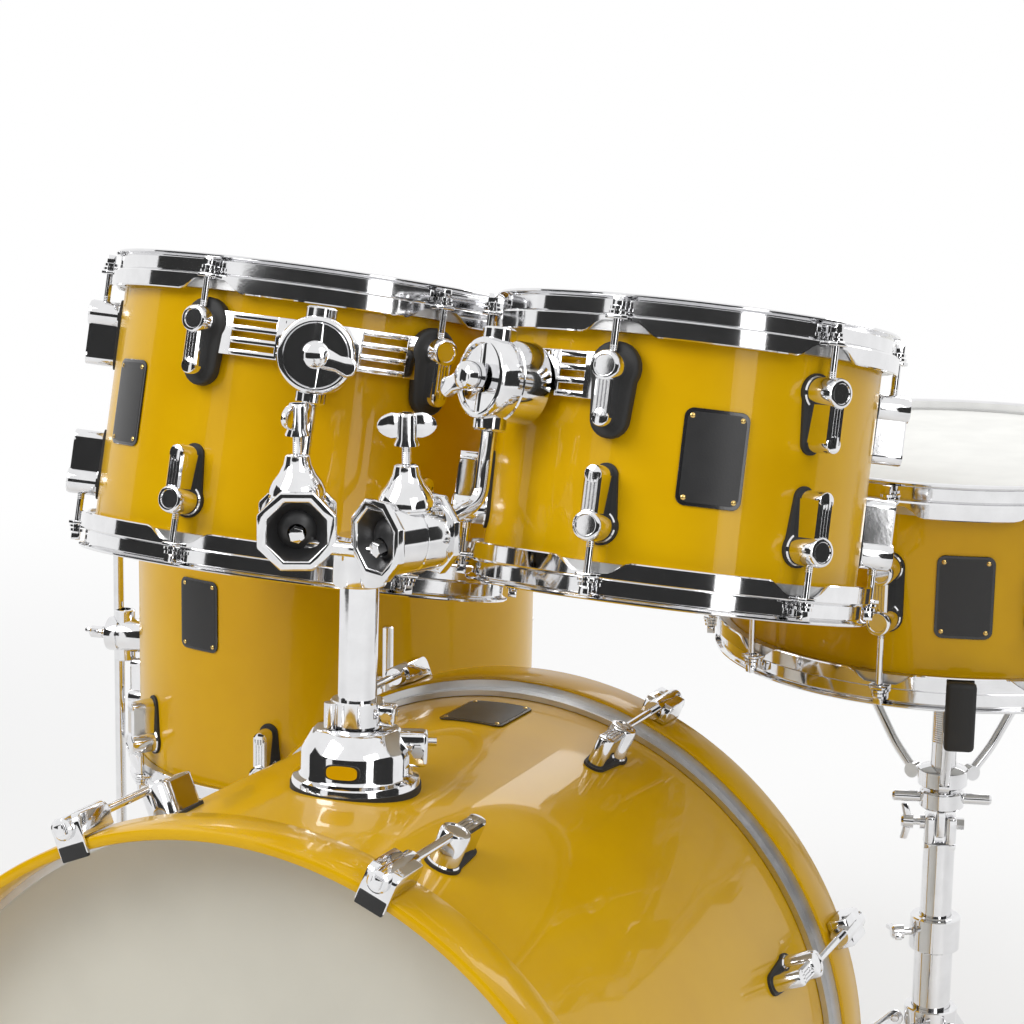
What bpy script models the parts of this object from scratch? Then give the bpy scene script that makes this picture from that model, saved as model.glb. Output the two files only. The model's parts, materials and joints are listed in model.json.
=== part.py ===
# Drum kit of five drums with its tom holder and snare stand.
# Metres, +Z up, the audience toward -Y. An azimuth is counted from -Y toward +X.

import math

import bmesh
import bpy
from mathutils import Matrix, Vector

INCH = 0.0254
GAP = 0.0003

# Where the kit's own middle lies, seen from the middle of the bass drum
KIT_CENTRE_X = -0.024
KIT_CENTRE_Y = 0.2457

# Drums: nominal sizes
BASS_RADIUS = 10 * INCH
BASS_DEPTH = 16 * INCH
BASS_WALL = 0.007
BASS_LUGS = 8
BASS_SIDES = 32
BASS_TILT = 1.76
LEFT_TOM_RADIUS = 6 * INCH
LEFT_TOM_DEPTH = 8 * INCH
RIGHT_TOM_RADIUS = 5 * INCH
RIGHT_TOM_DEPTH = 7 * INCH
FLOOR_TOM_RADIUS = 7 * INCH
FLOOR_TOM_DEPTH = 13 * INCH
SNARE_RADIUS = 7 * INCH
SNARE_DEPTH = 6 * INCH
DRUM_SIDES = 24
DRUM_WALL = 0.006

# Places and leans of the drums
LEFT_TOM_PLACE = (-0.166, 0.196, 0.7148)
LEFT_TOM_BACK, LEFT_TOM_SIDE = 11.9, 2.2
RIGHT_TOM_PLACE = (0.153, 0.1245, 0.7295)
RIGHT_TOM_BACK, RIGHT_TOM_SIDE = 11.7, 1.3
FLOOR_TOM_PLACE = (-0.3085, 0.5165)
FLOOR_TOM_MIDDLE = 0.517
SNARE_PLACE = (0.2643, 0.4718, 0.6166)
SNARE_BACK, SNARE_SIDE = -1.16, 0.17

# First lug of each drum
LEFT_TOM_LUG = -4.2
RIGHT_TOM_LUG = -2.3
FLOOR_TOM_LUG = 8.3
SNARE_LUG = -2.2
BASS_LUG = 22.5
TOM_LUGS = 6
FLOOR_TOM_LUGS = 8
SNARE_LUGS = 10

# Metal hoops, heads and tension rods, from the shell's radius and edge
LIP_OUT, LIP_UP, LIP_THICK = 0.0098, 0.0085, 0.0022
HOOP_IN, HOOP_OUT = 0.0036, 0.0060
SHELF_UP, SHELF_DOWN = -0.0055, -0.0078
SKIRT_IN, SKIRT_OUT, SKIRT_END = 0.0086, 0.0108, -0.0178
FILM_THICK = 0.0005
RING_OUT, RING_END = 0.0080, -0.0160
EAR_OUT, EAR_WIDE, EAR_THICK = 0.0200, 0.0160, 0.0024
ROD_OUT, ROD_THICK = 0.0134, 0.0060
ROD_HEAD, ROD_HEAD_UP, ROD_HEAD_DOWN = 0.0085, 0.0043, -0.0030

# Lugs
CAP_RADIUS, BAR_HALF, LUG_OUT, BAR_LONG = 0.0100, 0.0080, 0.0250, 0.0385
CAP_FROM_EDGE = 0.0385
SNARE_CAP_FROM_EDGE = 0.0576
BASS_CAP_FROM_EDGE = 0.0590

# Wooden hoops of the bass drum and their claw hooks
WOOD_OUT, WOOD_IN, WOOD_START, WOOD_END = 0.0131, 0.0050, 0.0020, 0.0428
BASS_FILM_DOWN = 0.0100
CLAW_OUT, CLAW_HALF, CLAW_LIP, CLAW_THICK = 0.0290, 0.0110, 0.0100, 0.0030
BASS_ROD_OUT = 0.0220

# Spurs
SPUR_ANGLE, SPUR_FORWARD, SPUR_STAND = 98.0, 0.075, 0.012
SPUR_TIP = (0.365, -0.235)
SPUR_RADIUS, SPUR_FOOT_RADIUS, SPUR_FOOT_HIGH = 0.008, 0.013, 0.022
SPUR_PLATE, SPUR_DISC, SPUR_DISC_THICK = 0.046, 0.018, 0.009

# Tom holder
HOLDER_BACK = -0.069
POST_RADIUS, POST_SIDES = 0.0127, 16
POST_FROM, POST_TO = 0.130, 0.405
BASE_FLANGE, BASE_BODY, BASE_TOP_RADIUS = 0.042, 0.036, 0.0275
BASE_FLANGE_HIGH, BASE_SHOULDER, BASE_HIGH = 0.005, 0.024, 0.038
BASE_CLAMP_AZ = 114.0
COLLAR_RADIUS, COLLAR_HIGH = 0.0175, 0.018
HEAD_RADIUS, HEAD_DOWN, HEAD_UP = 0.0175, 0.020, 0.013
BALL_RADIUS = 0.0205
BALL_SIDE, BALL_FRONT, BALL_HIGH = 0.0385, -0.070, 0.700
HOUSING_RADIUS, HOUSING_HALF, HOUSING_SIDES = 0.0238, 0.0245, 16
DOME_WIDE, DOME_NARROW, DOME_HIGH = 0.0185, 0.0080, 0.0460
SCREW_RADIUS, SCREW_TOP = 0.0030, 0.0740
WING_LOW, WING_HIGH, WING_HALF, WING_HUB = 0.0580, 0.0795, 0.0200, 0.0062
HEX_RADIUS = 0.0052
HEX_BORE = 0.0058
ROD_BEYOND_BALL = 0.026
ROD_BEND = 0.016
LEFT_ELBOW, RIGHT_ELBOW = -0.038, -0.045

# Mount of a rack tom: clamp housing on a curved plate between two lugs
MOUNT_BELOW_CAP, PLATE_ABOVE_MOUNT = 0.0155, 0.009
MOUNT_RADIUS, MOUNT_IN, MOUNT_OUT = 0.0280, 0.0080, 0.0470
PLATE_IN, PLATE_OUT, PLATE_HIGH = 0.0060, 0.0092, 0.0330
ROD_FROM_SHELL = 0.0340
LEVER_OUT, LEVER_REACH, LEVER_HUB, LEVER_THICK = 0.0130, 0.0290, 0.0100, 0.0060

# Floor tom legs
LEG_AZ, LEG_COUNT = 38.3, 3
LEG_RADIUS, LEG_OUT, LEG_TOP = 0.0050, 0.0360, 0.526
LEG_FOOT, LEG_FOOT_HIGH = 0.0125, 0.030
BRACKET_LOW, BRACKET_HIGH, BRACKET_OUT, BRACKET_HALF = -0.092, -0.042, 0.0460, 0.0130

# Snare strainer and wires
STRAINER_AZ = 87.8
STRAINER_OUT, STRAINER_HALF, STRAINER_LOW, STRAINER_TOP = 0.0200, 0.0170, -0.0480, 0.0180
LEVER_PIVOT, LEVER_TALL, LEVER_HALF, LEVER_DEEP = -0.0300, 0.0600, 0.0060, 0.0060
WIRE_LONG, WIRE_WIDE, WIRE_THICK = 0.320, 0.042, 0.0015

# Snare stand: heights over the floor on the upright part, over the tilter's pivot on the basket
TILTER_HIGH = 0.383
STAND_AZ = 15.8
UPPER_RADIUS, UPPER_FROM = 0.0128, 0.140
LOWER_RADIUS, LOWER_FROM, LOWER_TO = 0.0156, 0.034, 0.305
STAND_SIDES = 12
YOKE_HALF, YOKE_GAP, YOKE_LOW, YOKE_TALL, YOKE_DEEP = 0.0130, 0.0086, -0.020, 0.028, 0.011
TONGUE_TALL = 0.011
BASKET_TUBE, BASKET_TUBE_TOP = 0.0103, 0.112
BASKET_PLATE, BASKET_PIVOT = 0.0200, 0.0400
NUT_RADIUS, NUT_LOW, NUT_TOP, NUT_BAR_HALF, NUT_BAR_THICK = 0.0180, 0.0120, 0.0290, 0.0400, 0.0045
ARM_THICK, ARM_EYE, ARM_EYE_WIDE = 0.0040, 0.0062, 0.0080
ARM_PIVOT_OUT = BASKET_PLATE + ARM_EYE + 2.0 * GAP
ARM_SLEEVE_WIDE, ARM_SLEEVE_DEEP, ARM_SLEEVE_TALL = 0.022, 0.010, 0.052
SEAT_BELOW_HOOP = 0.0200
TRIPOD_AZ = 50.0
TRIPOD_COLLAR, TRIPOD_COLLAR_LOW, TRIPOD_COLLAR_HIGH = 0.0215, 0.200, 0.226
TRIPOD_HUB_LOW, TRIPOD_HUB_HIGH = 0.040, 0.064
STRIP_WIDE, STRIP_THICK = 0.0140, 0.0036
TRIPOD_REACH, TRIPOD_PIVOT_OUT = 0.260, TRIPOD_COLLAR + STRIP_WIDE / 2.0 + 2.0 * GAP
BRACE_SHARE = 0.40
TRIPOD_FOOT_LONG, TRIPOD_FOOT_WIDE, TRIPOD_FOOT_HIGH = 0.040, 0.022, 0.018

LEFT, RIGHT = -1, 1


# Collections, materials and frames

def clear_scene():
    for obj in list(bpy.data.objects):
        bpy.data.objects.remove(obj)


def new_collection(name):
    collection = bpy.data.collections.new(name)
    bpy.context.scene.collection.children.link(collection)
    return collection


def new_material(name, colour, roughness, metallic):
    look = bpy.data.materials.new(name)
    look.use_nodes = True
    shader = look.node_tree.nodes["Principled BSDF"]
    shader.inputs["Base Color"].default_value = (*colour, 1.0)
    shader.inputs["Roughness"].default_value = roughness
    shader.inputs["Metallic"].default_value = metallic
    return look


def new_frame(name, matrix, parent=None):
    frame = bpy.data.objects.new(name, None)
    PARTS.objects.link(frame)
    frame.empty_display_size = 0.03
    frame.parent = parent
    frame.matrix_basis = matrix
    return frame


def place(obj, parent, matrix=None):
    obj.parent = parent
    if matrix is not None:
        obj.matrix_basis = matrix
    return obj


def turn(degrees, axis="Z"):
    return Matrix.Rotation(math.radians(degrees), 4, axis)


def shift(x=0.0, y=0.0, z=0.0):
    return Matrix.Translation((x, y, z))


def outward(azimuth):
    angle = math.radians(azimuth)
    return Vector((math.sin(angle), -math.cos(angle), 0.0))


# Shapes

def new_part(name, mesh, look, parent, matrix=None):
    part = bpy.data.objects.new(name, mesh)
    PARTS.objects.link(part)
    mesh.materials.clear()
    mesh.materials.append(look)
    return place(part, parent, matrix)


def new_tool(name, mesh, parent, matrix=None):
    tool = bpy.data.objects.new(name, mesh)
    TOOLS.objects.link(tool)
    tool.hide_render = True
    tool.display_type = "WIRE"
    return place(tool, parent, matrix)


def combine(part, tool, operation):
    boolean = part.modifiers.new(operation.lower(), "BOOLEAN")
    boolean.operation = operation
    boolean.object = tool
    boolean.solver = "EXACT"


def profile_mesh(name, points, sides):
    # The flats of the turned shape, and not its corners, lie on the stated radii
    grow = 1.0 / math.cos(math.pi / sides)
    bm = bmesh.new()
    verts = [bm.verts.new((radius * grow, 0.0, height)) for radius, height in points]
    for here, there in zip(verts, verts[1:]):
        bm.edges.new((here, there))
    if points[0][0] > 0.0:
        bm.edges.new((verts[-1], verts[0]))
    mesh = bpy.data.meshes.new(name)
    bm.to_mesh(mesh)
    bm.free()
    return mesh


def spin(obj, sides):
    # Turns the profile of obj round its own Z axis
    screw = obj.modifiers.new("turned", "SCREW")
    screw.axis = "Z"
    screw.angle = 2.0 * math.pi
    screw.steps = sides
    screw.render_steps = sides
    screw.use_merge_vertices = True
    screw.merge_threshold = 0.0001
    return obj


def turned_part(name, points, sides, look, parent, matrix=None):
    return spin(new_part(name, profile_mesh(name, points, sides), look, parent, matrix), sides)


def turned_tool(name, points, sides, parent, matrix=None):
    return spin(new_tool(name, profile_mesh(name, points, sides), parent, matrix), sides)


def rod_profile(radius, low, high):
    return [(0.0, high), (radius, high), (radius, low), (0.0, low)]


def mesh_from(bm, name):
    mesh = bpy.data.meshes.new(name)
    bm.to_mesh(mesh)
    bm.free()
    return mesh


def box_mesh(name, low, high):
    size = Vector(high) - Vector(low)
    middle = (Vector(high) + Vector(low)) / 2.0
    bm = bmesh.new()
    bmesh.ops.create_cube(bm, size=1.0, matrix=Matrix.Translation(middle) @ Matrix.Diagonal((*size, 1.0)))
    return mesh_from(bm, name)


def cylinder_mesh(name, radius, depth, sides, matrix=None):
    bm = bmesh.new()
    grow = 1.0 / math.cos(math.pi / sides)
    bmesh.ops.create_cone(
        bm, cap_ends=True, segments=sides, radius1=radius * grow, radius2=radius * grow, depth=depth,
        matrix=matrix or Matrix.Identity(4),
    )
    return mesh_from(bm, name)


def solid_from_curve(name, curve):
    # A curve's evaluated mesh with its loose caps welded on
    holder = bpy.data.objects.new(name, curve)
    bpy.context.scene.collection.objects.link(holder)
    evaluated = holder.evaluated_get(bpy.context.evaluated_depsgraph_get())
    mesh = bpy.data.meshes.new_from_object(evaluated)
    mesh.name = name
    bpy.data.objects.remove(holder)
    bpy.data.curves.remove(curve)
    bm = bmesh.new()
    bm.from_mesh(mesh)
    bmesh.ops.remove_doubles(bm, verts=bm.verts, dist=1e-6)
    bmesh.ops.recalc_face_normals(bm, faces=bm.faces)
    bm.to_mesh(mesh)
    bm.free()
    return mesh


def outline_mesh(name, points, thickness):
    # A flat outline in X and Y, thickness centred on Z
    curve = bpy.data.curves.new(name, "CURVE")
    curve.dimensions = "2D"
    curve.fill_mode = "BOTH"
    curve.extrude = thickness / 2.0
    spline = curve.splines.new("POLY")
    spline.points.add(len(points) - 1)
    for point, (x, y) in zip(spline.points, points):
        point.co = (x, y, 0.0, 1.0)
    spline.use_cyclic_u = True
    return solid_from_curve(name, curve)


def bar_mesh(name, points, radius, resolution):
    # A round or six-sided bar along points
    curve = bpy.data.curves.new(name, "CURVE")
    curve.dimensions = "3D"
    curve.bevel_depth = radius
    curve.bevel_resolution = resolution
    curve.use_fill_caps = True
    curve.resolution_u = 1
    spline = curve.splines.new("POLY")
    spline.points.add(len(points) - 1)
    for point, place_at in zip(spline.points, points):
        point.co = (*place_at, 1.0)
    return solid_from_curve(name, curve)


def repeated(name, mesh, matrices):
    # One mesh that holds a copy of mesh at each matrix
    bm = bmesh.new()
    for matrix in matrices:
        copy = mesh.copy()
        copy.transform(matrix)
        bm.from_mesh(copy)
        bpy.data.meshes.remove(copy)
    return mesh_from(bm, name)


def around(count, first):
    return [turn(first + 360.0 * number / count) for number in range(count)]


def arc(centre, radius, start, end, steps):
    points = []
    for step in range(steps + 1):
        angle = math.radians(start + (end - start) * step / steps)
        points.append((centre[0] + radius * math.cos(angle), centre[1] + radius * math.sin(angle)))
    return points


def bend(start, corner, end, radius, steps):
    # Points of a path start to end whose corner is rounded
    back = (start - corner).normalized()
    ahead = (end - corner).normalized()
    first = corner + back * radius
    last = corner + ahead * radius
    points = [start]
    for step in range(steps + 1):
        share = step / steps
        points.append(first.lerp(corner, share).lerp(corner.lerp(last, share), share))
    points.append(end)
    return points


# Drums

def lug_outline(double, cap_to_middle):
    # Seen from outside, X across and Y toward the drum's edge, the cap's middle at the origin
    outline = arc((0.0, 0.0), CAP_RADIUS, 0.0, 180.0, 5)
    if double:
        outline += arc((0.0, -2.0 * cap_to_middle), CAP_RADIUS, 180.0, 360.0, 5)
    else:
        outline += [(-BAR_HALF, -0.3 * BAR_LONG), (-BAR_HALF, -BAR_LONG)]
        outline += [(BAR_HALF, -BAR_LONG), (BAR_HALF, -0.3 * BAR_LONG)]
    return outline


def lug_meshes(name, radius, depth, count, first, cap_from_edge, double):
    # Every lug of a drum as one mesh, standing on the shell
    cap_to_middle = depth / 2.0 - cap_from_edge
    inner = radius - 0.5 * DRUM_WALL
    outer = radius + LUG_OUT
    lug = outline_mesh("lug", lug_outline(double, cap_to_middle), outer - inner)
    stand = shift(0.0, -(inner + outer) / 2.0, cap_to_middle) @ turn(90.0, "X")
    turned = around(count, first)
    spots = [spot @ stand for spot in turned]
    if not double:
        spots += [spot @ turn(180.0, "Y") @ stand for spot in turned]
    return repeated(name, lug, spots)


def drum_shell(name, frame, radius, depth, wall, sides, lugs, phase=0.0):
    profile = [
        (radius, depth / 2.0), (radius, -depth / 2.0), (radius - wall, -depth / 2.0), (radius - wall, depth / 2.0),
    ]
    shell = turned_part(name, profile, sides, LACQUER, frame, turn(phase))
    combine(shell, new_tool(name + "_lugs", lugs, frame), "UNION")
    return shell


def drum_head(name, frame, radius, depth, side, sides, look, phase=0.0):
    # Film over the edge and down the shell into the metal ring that the hoop pulls on
    inside = radius + GAP
    outside = inside + 2.0 * FILM_THICK
    ring_top = SHELF_DOWN - GAP
    profile = [
        (0.0, GAP + FILM_THICK), (outside, GAP + FILM_THICK), (outside, ring_top), (radius + RING_OUT, ring_top),
        (radius + RING_OUT, RING_END), (inside, RING_END), (inside, GAP), (0.0, GAP),
    ]
    return turned_part(name, profile, sides, look, frame, end_matrix(depth, side) @ turn(phase))


def end_matrix(depth, side):
    # The plane of the shell's edge, Z pointing out of the drum
    facing = Matrix.Identity(4) if side > 0 else turn(180.0, "Y")
    return facing @ shift(z=depth / 2.0)


def metal_hoop(name, frame, radius, depth, side, count, first, cap_from_edge):
    profile = [
        (radius + LIP_OUT, LIP_UP), (radius + LIP_OUT, LIP_UP - LIP_THICK), (radius + HOOP_OUT, LIP_UP - 2.0 * LIP_THICK),
        (radius + HOOP_OUT, SHELF_UP), (radius + SKIRT_OUT, SHELF_UP), (radius + SKIRT_OUT, SKIRT_END),
        (radius + SKIRT_IN, SKIRT_END), (radius + SKIRT_IN, SHELF_DOWN), (radius + HOOP_IN, SHELF_DOWN),
        (radius + HOOP_IN, LIP_UP),
    ]
    matrix = end_matrix(depth, side)
    hoop = turned_part(name, profile, DRUM_SIDES, CHROME, frame, matrix)
    # Seen from the far end the lugs run the other way round
    spots = around(count, first if side > 0 else -first)
    ear_in = radius + (SKIRT_IN + SKIRT_OUT) / 2.0
    ear_top = SHELF_UP - 0.0005
    ear = box_mesh("ear", (-EAR_WIDE / 2.0, -(radius + EAR_OUT), ear_top - EAR_THICK), (EAR_WIDE / 2.0, -ear_in, ear_top))
    combine(hoop, new_tool(name + "_ears", repeated("ears", ear, spots), frame, matrix), "UNION")
    rods = tension_rods(radius, count, first if side > 0 else -first, -(cap_from_edge - CAP_RADIUS) + GAP)
    combine(hoop, new_tool(name + "_rods", rods, frame, matrix), "UNION")
    return hoop


def tension_rods(radius, count, first, end):
    # Key heads over the ears and rods down to the lugs
    head = cylinder_mesh("head", ROD_HEAD / 2.0, ROD_HEAD_UP - ROD_HEAD_DOWN, 6)
    bm = bmesh.new()
    head.transform(shift(z=(ROD_HEAD_UP + ROD_HEAD_DOWN) / 2.0))
    bm.from_mesh(head)
    below = [face for face in bm.faces if face.normal.z < -0.9]
    shank = bmesh.ops.inset_region(bm, faces=below, thickness=(ROD_HEAD - ROD_THICK) / 2.0, use_even_offset=True)
    inner = [face for face in bm.faces if face.normal.z < -0.9 and face not in shank["faces"]]
    pulled = bmesh.ops.extrude_face_region(bm, geom=inner)
    moved = [item for item in pulled["geom"] if isinstance(item, bmesh.types.BMVert)]
    bmesh.ops.translate(bm, verts=moved, vec=(0.0, 0.0, end - ROD_HEAD_DOWN))
    bmesh.ops.delete(bm, geom=inner, context="FACES")
    bmesh.ops.recalc_face_normals(bm, faces=bm.faces)
    rod = mesh_from(bm, "rod")
    return repeated("rods", rod, [spot @ shift(y=-(radius + ROD_OUT)) for spot in around(count, first)])


def metal_drum(name, frame, radius, depth, count, first, cap_from_edge, double=False, top_look=None):
    lugs = lug_meshes(name + "_lugs", radius, depth, count, first, cap_from_edge, double)
    shell = drum_shell(name + "_shell", frame, radius, depth, DRUM_WALL, DRUM_SIDES, lugs)
    drum_head(name + "_batter_head", frame, radius, depth, 1, DRUM_SIDES, top_look or CLEAR_FILM)
    drum_head(name + "_resonant_head", frame, radius, depth, -1, DRUM_SIDES, CLEAR_FILM)
    metal_hoop(name + "_batter_hoop", frame, radius, depth, 1, count, first, cap_from_edge)
    metal_hoop(name + "_resonant_hoop", frame, radius, depth, -1, count, first, cap_from_edge)
    return shell


def leaning(place_at, back, side):
    return Matrix.Translation(place_at) @ turn(-back, "X") @ turn(side, "Y")


# Bass drum

def bass_height():
    lean = math.radians(BASS_TILT)
    hoop = BASS_RADIUS + WOOD_OUT
    return hoop * math.cos(lean) + (BASS_DEPTH / 2.0 + WOOD_END) * math.sin(lean)


def bass_level():
    # Middle of the bass drum, Y along its axis to the player, Z square to it
    return shift(z=bass_height()) @ turn(-BASS_TILT, "X")


def bass_lugs():
    cap_to_middle = BASS_DEPTH / 2.0 - BASS_CAP_FROM_EDGE
    inner = BASS_RADIUS - 0.5 * BASS_WALL
    outer = BASS_RADIUS + LUG_OUT
    lug = outline_mesh("bass_lug", lug_outline(False, cap_to_middle), outer - inner)
    stand = shift(0.0, -(inner + outer) / 2.0, cap_to_middle) @ turn(90.0, "X")
    turned = around(BASS_LUGS, BASS_LUG)
    return repeated("bass_lugs", lug, [t @ stand for t in turned] + [t @ turn(180.0, "Y") @ stand for t in turned])


def bass_shell(frame, phase):
    shell = drum_shell("bass_shell", frame, BASS_RADIUS, BASS_DEPTH, BASS_WALL, BASS_SIDES, bass_lugs(), phase)
    hole = cylinder_mesh("post_hole", POST_RADIUS + 0.0015, 0.05, POST_SIDES)
    combine(shell, new_tool("post_hole", hole, frame, shift(0.0, -BASS_RADIUS, HOLDER_BACK) @ turn(90.0, "X")), "DIFFERENCE")
    plate = box_mesh(
        "spur_plate", (-SPUR_PLATE / 2.0, -(BASS_RADIUS + SPUR_STAND), -SPUR_PLATE / 2.0),
        (SPUR_PLATE / 2.0, -(BASS_RADIUS - 0.5 * BASS_WALL), SPUR_PLATE / 2.0),
    )
    spots = [turn(side * SPUR_ANGLE) @ shift(z=-SPUR_FORWARD) for side in (LEFT, RIGHT)]
    combine(shell, new_tool("spur_plates", repeated("spur_plates", plate, spots), frame), "UNION")
    return shell


def bass_head(name, frame, side, look, phase):
    # Film a little inside the wooden hoop, with its metal ring between shell and hoop
    inside = BASS_RADIUS + GAP
    outside = BASS_RADIUS + WOOD_IN - GAP
    profile = [
        (0.0, GAP + FILM_THICK), (outside, GAP + FILM_THICK), (outside, -BASS_FILM_DOWN), (inside, -BASS_FILM_DOWN),
        (inside, GAP), (0.0, GAP),
    ]
    return turned_part(name, profile, BASS_SIDES, look, frame, end_matrix(BASS_DEPTH, side) @ turn(phase))


def bass_hoop(name, frame, side, phase):
    outer = BASS_RADIUS + WOOD_OUT
    profile = [
        (outer, WOOD_END), (outer, WOOD_START), (BASS_RADIUS + WOOD_IN, WOOD_START), (BASS_RADIUS + WOOD_IN, WOOD_END),
    ]
    matrix = end_matrix(BASS_DEPTH, side)
    hoop = turned_part(name, profile, BASS_SIDES, LACQUER, frame, matrix @ turn(phase))
    claw = outline_mesh("claw", claw_outline(outer), 2.0 * CLAW_HALF)
    first = BASS_LUG if side > 0 else -BASS_LUG
    spots = [spot @ turn(-90.0, "Y") @ turn(180.0, "X") for spot in around(BASS_LUGS, first)]
    combine(hoop, new_tool(name + "_claws", repeated("claws", claw, spots), frame, matrix), "UNION")
    low = -(BASS_CAP_FROM_EDGE - CAP_RADIUS) + GAP
    high = WOOD_END + CLAW_THICK + 0.006
    rod = cylinder_mesh("bass_rod", ROD_THICK / 2.0, high - low, 6, shift(z=(high + low) / 2.0))
    spots = [spot @ shift(y=-(BASS_RADIUS + BASS_ROD_OUT)) for spot in around(BASS_LUGS, first)]
    combine(hoop, new_tool(name + "_rods", repeated("bass_rods", rod, spots), frame, matrix), "UNION")
    return hoop


def claw_outline(hoop_radius):
    # X along the drum's axis out of the drum, Y outward from the axis
    face = WOOD_END
    out = BASS_RADIUS + CLAW_OUT
    return [
        (WOOD_START + 0.004, hoop_radius - 0.002), (face - 0.001, hoop_radius - 0.002),
        (face - 0.001, hoop_radius - CLAW_LIP), (face + CLAW_THICK, hoop_radius - CLAW_LIP),
        (face + CLAW_THICK, out), (WOOD_START + 0.004, out),
    ]


def spur_axis_and_pivot(side):
    # The disc turns flat on the spur plate, and the weight on the foot presses it against its stop
    seat = BASS_RADIUS + SPUR_STAND + GAP + SPUR_DISC_THICK / 2.0
    around_drum = bass_level() @ turn(-90.0, "X") @ turn(side * SPUR_ANGLE)
    spot = around_drum @ Vector((0.0, -seat, -SPUR_FORWARD))
    tip = Vector((side * SPUR_TIP[0], SPUR_TIP[1], SPUR_FOOT_HIGH / 2.0))
    axis = around_drum.to_3x3() @ Vector((0.0, -side, 0.0))
    return spot, tip, axis


def bass_spur(name, side, kit):
    pivot, tip, axis = spur_axis_and_pivot(side)
    frame = new_frame(name + "_pivot", Matrix.Translation(pivot), kit)
    run = tip - pivot
    leg = bar_mesh(name, [run * 0.02, run], SPUR_RADIUS, 2)
    part = new_part(name, leg, CHROME, frame)
    disc = cylinder_mesh("spur_disc", SPUR_DISC, SPUR_DISC_THICK, 12)
    facing = axis.to_track_quat("Z", "Y").to_matrix().to_4x4()
    combine(part, new_tool(name + "_disc", disc, frame, facing), "UNION")
    foot = cylinder_mesh("spur_foot", SPUR_FOOT_RADIUS, SPUR_FOOT_HIGH, 10)
    combine(part, new_tool(name + "_foot", foot, frame, Matrix.Translation(run)), "UNION")


# Tom holder

def holder_base(frame):
    shell_top = BASS_RADIUS
    profile = [
        (BASE_TOP_RADIUS, shell_top + BASE_HIGH), (BASE_BODY, shell_top + BASE_SHOULDER),
        (BASE_BODY, shell_top + BASE_FLANGE_HIGH + 0.003), (BASE_FLANGE, shell_top + BASE_FLANGE_HIGH),
        (BASE_FLANGE, shell_top - 0.015), (POST_RADIUS + 2.0 * GAP, shell_top - 0.015),
        (POST_RADIUS + 2.0 * GAP, shell_top + BASE_HIGH),
    ]
    base = turned_part("holder_base", profile, POST_SIDES, CHROME, frame)
    block = box_mesh("clamp_block", (-0.009, -0.047, shell_top + 0.012), (0.009, -0.020, shell_top + 0.0365))
    combine(base, new_tool("clamp_block", block, frame, turn(BASE_CLAMP_AZ)), "UNION")
    shell = turned_tool(
        "shell_room", rod_profile(BASS_RADIUS + GAP, -0.1, 0.1), BASS_SIDES, frame,
        turn(-90.0, "X") @ turn(180.0 / BASS_SIDES),
    )
    combine(base, shell, "DIFFERENCE")
    return base


def holder_post(frame):
    post = turned_part("holder_post", rod_profile(POST_RADIUS, POST_FROM, POST_TO), POST_SIDES, CHROME, frame)
    low = BASS_RADIUS + BASE_HIGH + GAP
    ring = [
        (COLLAR_RADIUS, low + COLLAR_HIGH), (COLLAR_RADIUS, low), (POST_RADIUS + GAP, low),
        (POST_RADIUS + GAP, low + COLLAR_HIGH),
    ]
    collar = turned_part("memory_collar", ring, POST_SIDES, CHROME, frame)
    ear = box_mesh("collar_ear", (-0.006, -0.026, low + 0.003), (0.006, -COLLAR_RADIUS + 0.002, low + 0.015))
    combine(collar, new_tool("collar_ear", ear, frame, turn(100.0)), "UNION")
    return post


def ball_spot(side):
    return Vector((side * BALL_SIDE, BALL_FRONT, BALL_HIGH))


def holder_head(frame, kit, headings):
    sleeve = [
        (0.0, POST_TO + HEAD_UP), (HEAD_RADIUS, POST_TO + HEAD_UP), (HEAD_RADIUS, POST_TO - HEAD_DOWN),
        (POST_RADIUS + GAP, POST_TO - HEAD_DOWN), (POST_RADIUS + GAP, POST_TO + GAP), (0.0, POST_TO + GAP),
    ]
    head = turned_part("holder_head", sleeve, POST_SIDES, CHROME, frame)
    arm = box_mesh("holder_arm", (-0.030, -0.026, POST_TO + 0.002), (0.030, 0.004, POST_TO + HEAD_UP - 0.001))
    combine(head, new_tool("holder_arm", arm, frame), "UNION")
    for side, heading in headings:
        spot = Matrix.Translation(ball_spot(side)) @ turn(heading)
        name = "left" if side < 0 else "right"
        barrel = cylinder_mesh(
            "ball_housing", HOUSING_RADIUS, 2.0 * HOUSING_HALF, HOUSING_SIDES, turn(90.0, "X") @ turn(180.0 / HOUSING_SIDES))
        combine(head, new_tool("ball_housing_" + name, barrel, kit, spot), "UNION")
    for side, heading in headings:
        spot = Matrix.Translation(ball_spot(side)) @ turn(heading)
        name = "left" if side < 0 else "right"
        dome = [
            (0.0, SCREW_TOP), (SCREW_RADIUS, SCREW_TOP), (SCREW_RADIUS, DOME_HIGH), (DOME_NARROW, DOME_HIGH),
            (DOME_NARROW + 0.002, DOME_HIGH - 0.012), (DOME_WIDE, HOUSING_RADIUS - 0.002), (DOME_WIDE, 0.014), (0.0, 0.014),
        ]
        combine(head, turned_tool("clamp_dome_" + name, dome, 12, kit, spot), "UNION")
        bore = cylinder_mesh(
            "ball_bore", BALL_RADIUS + GAP, 2.2 * HOUSING_HALF, HOUSING_SIDES, turn(90.0, "X") @ turn(180.0 / HOUSING_SIDES))
        combine(head, new_tool("ball_bore_" + name, bore, kit, spot), "DIFFERENCE")
    post_room = cylinder_mesh("post_room", POST_RADIUS + GAP, 0.060, POST_SIDES, shift(z=POST_TO + GAP - 0.030))
    combine(head, new_tool("post_room", post_room, frame, turn(180.0 / POST_SIDES)), "DIFFERENCE")
    return head


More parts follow.
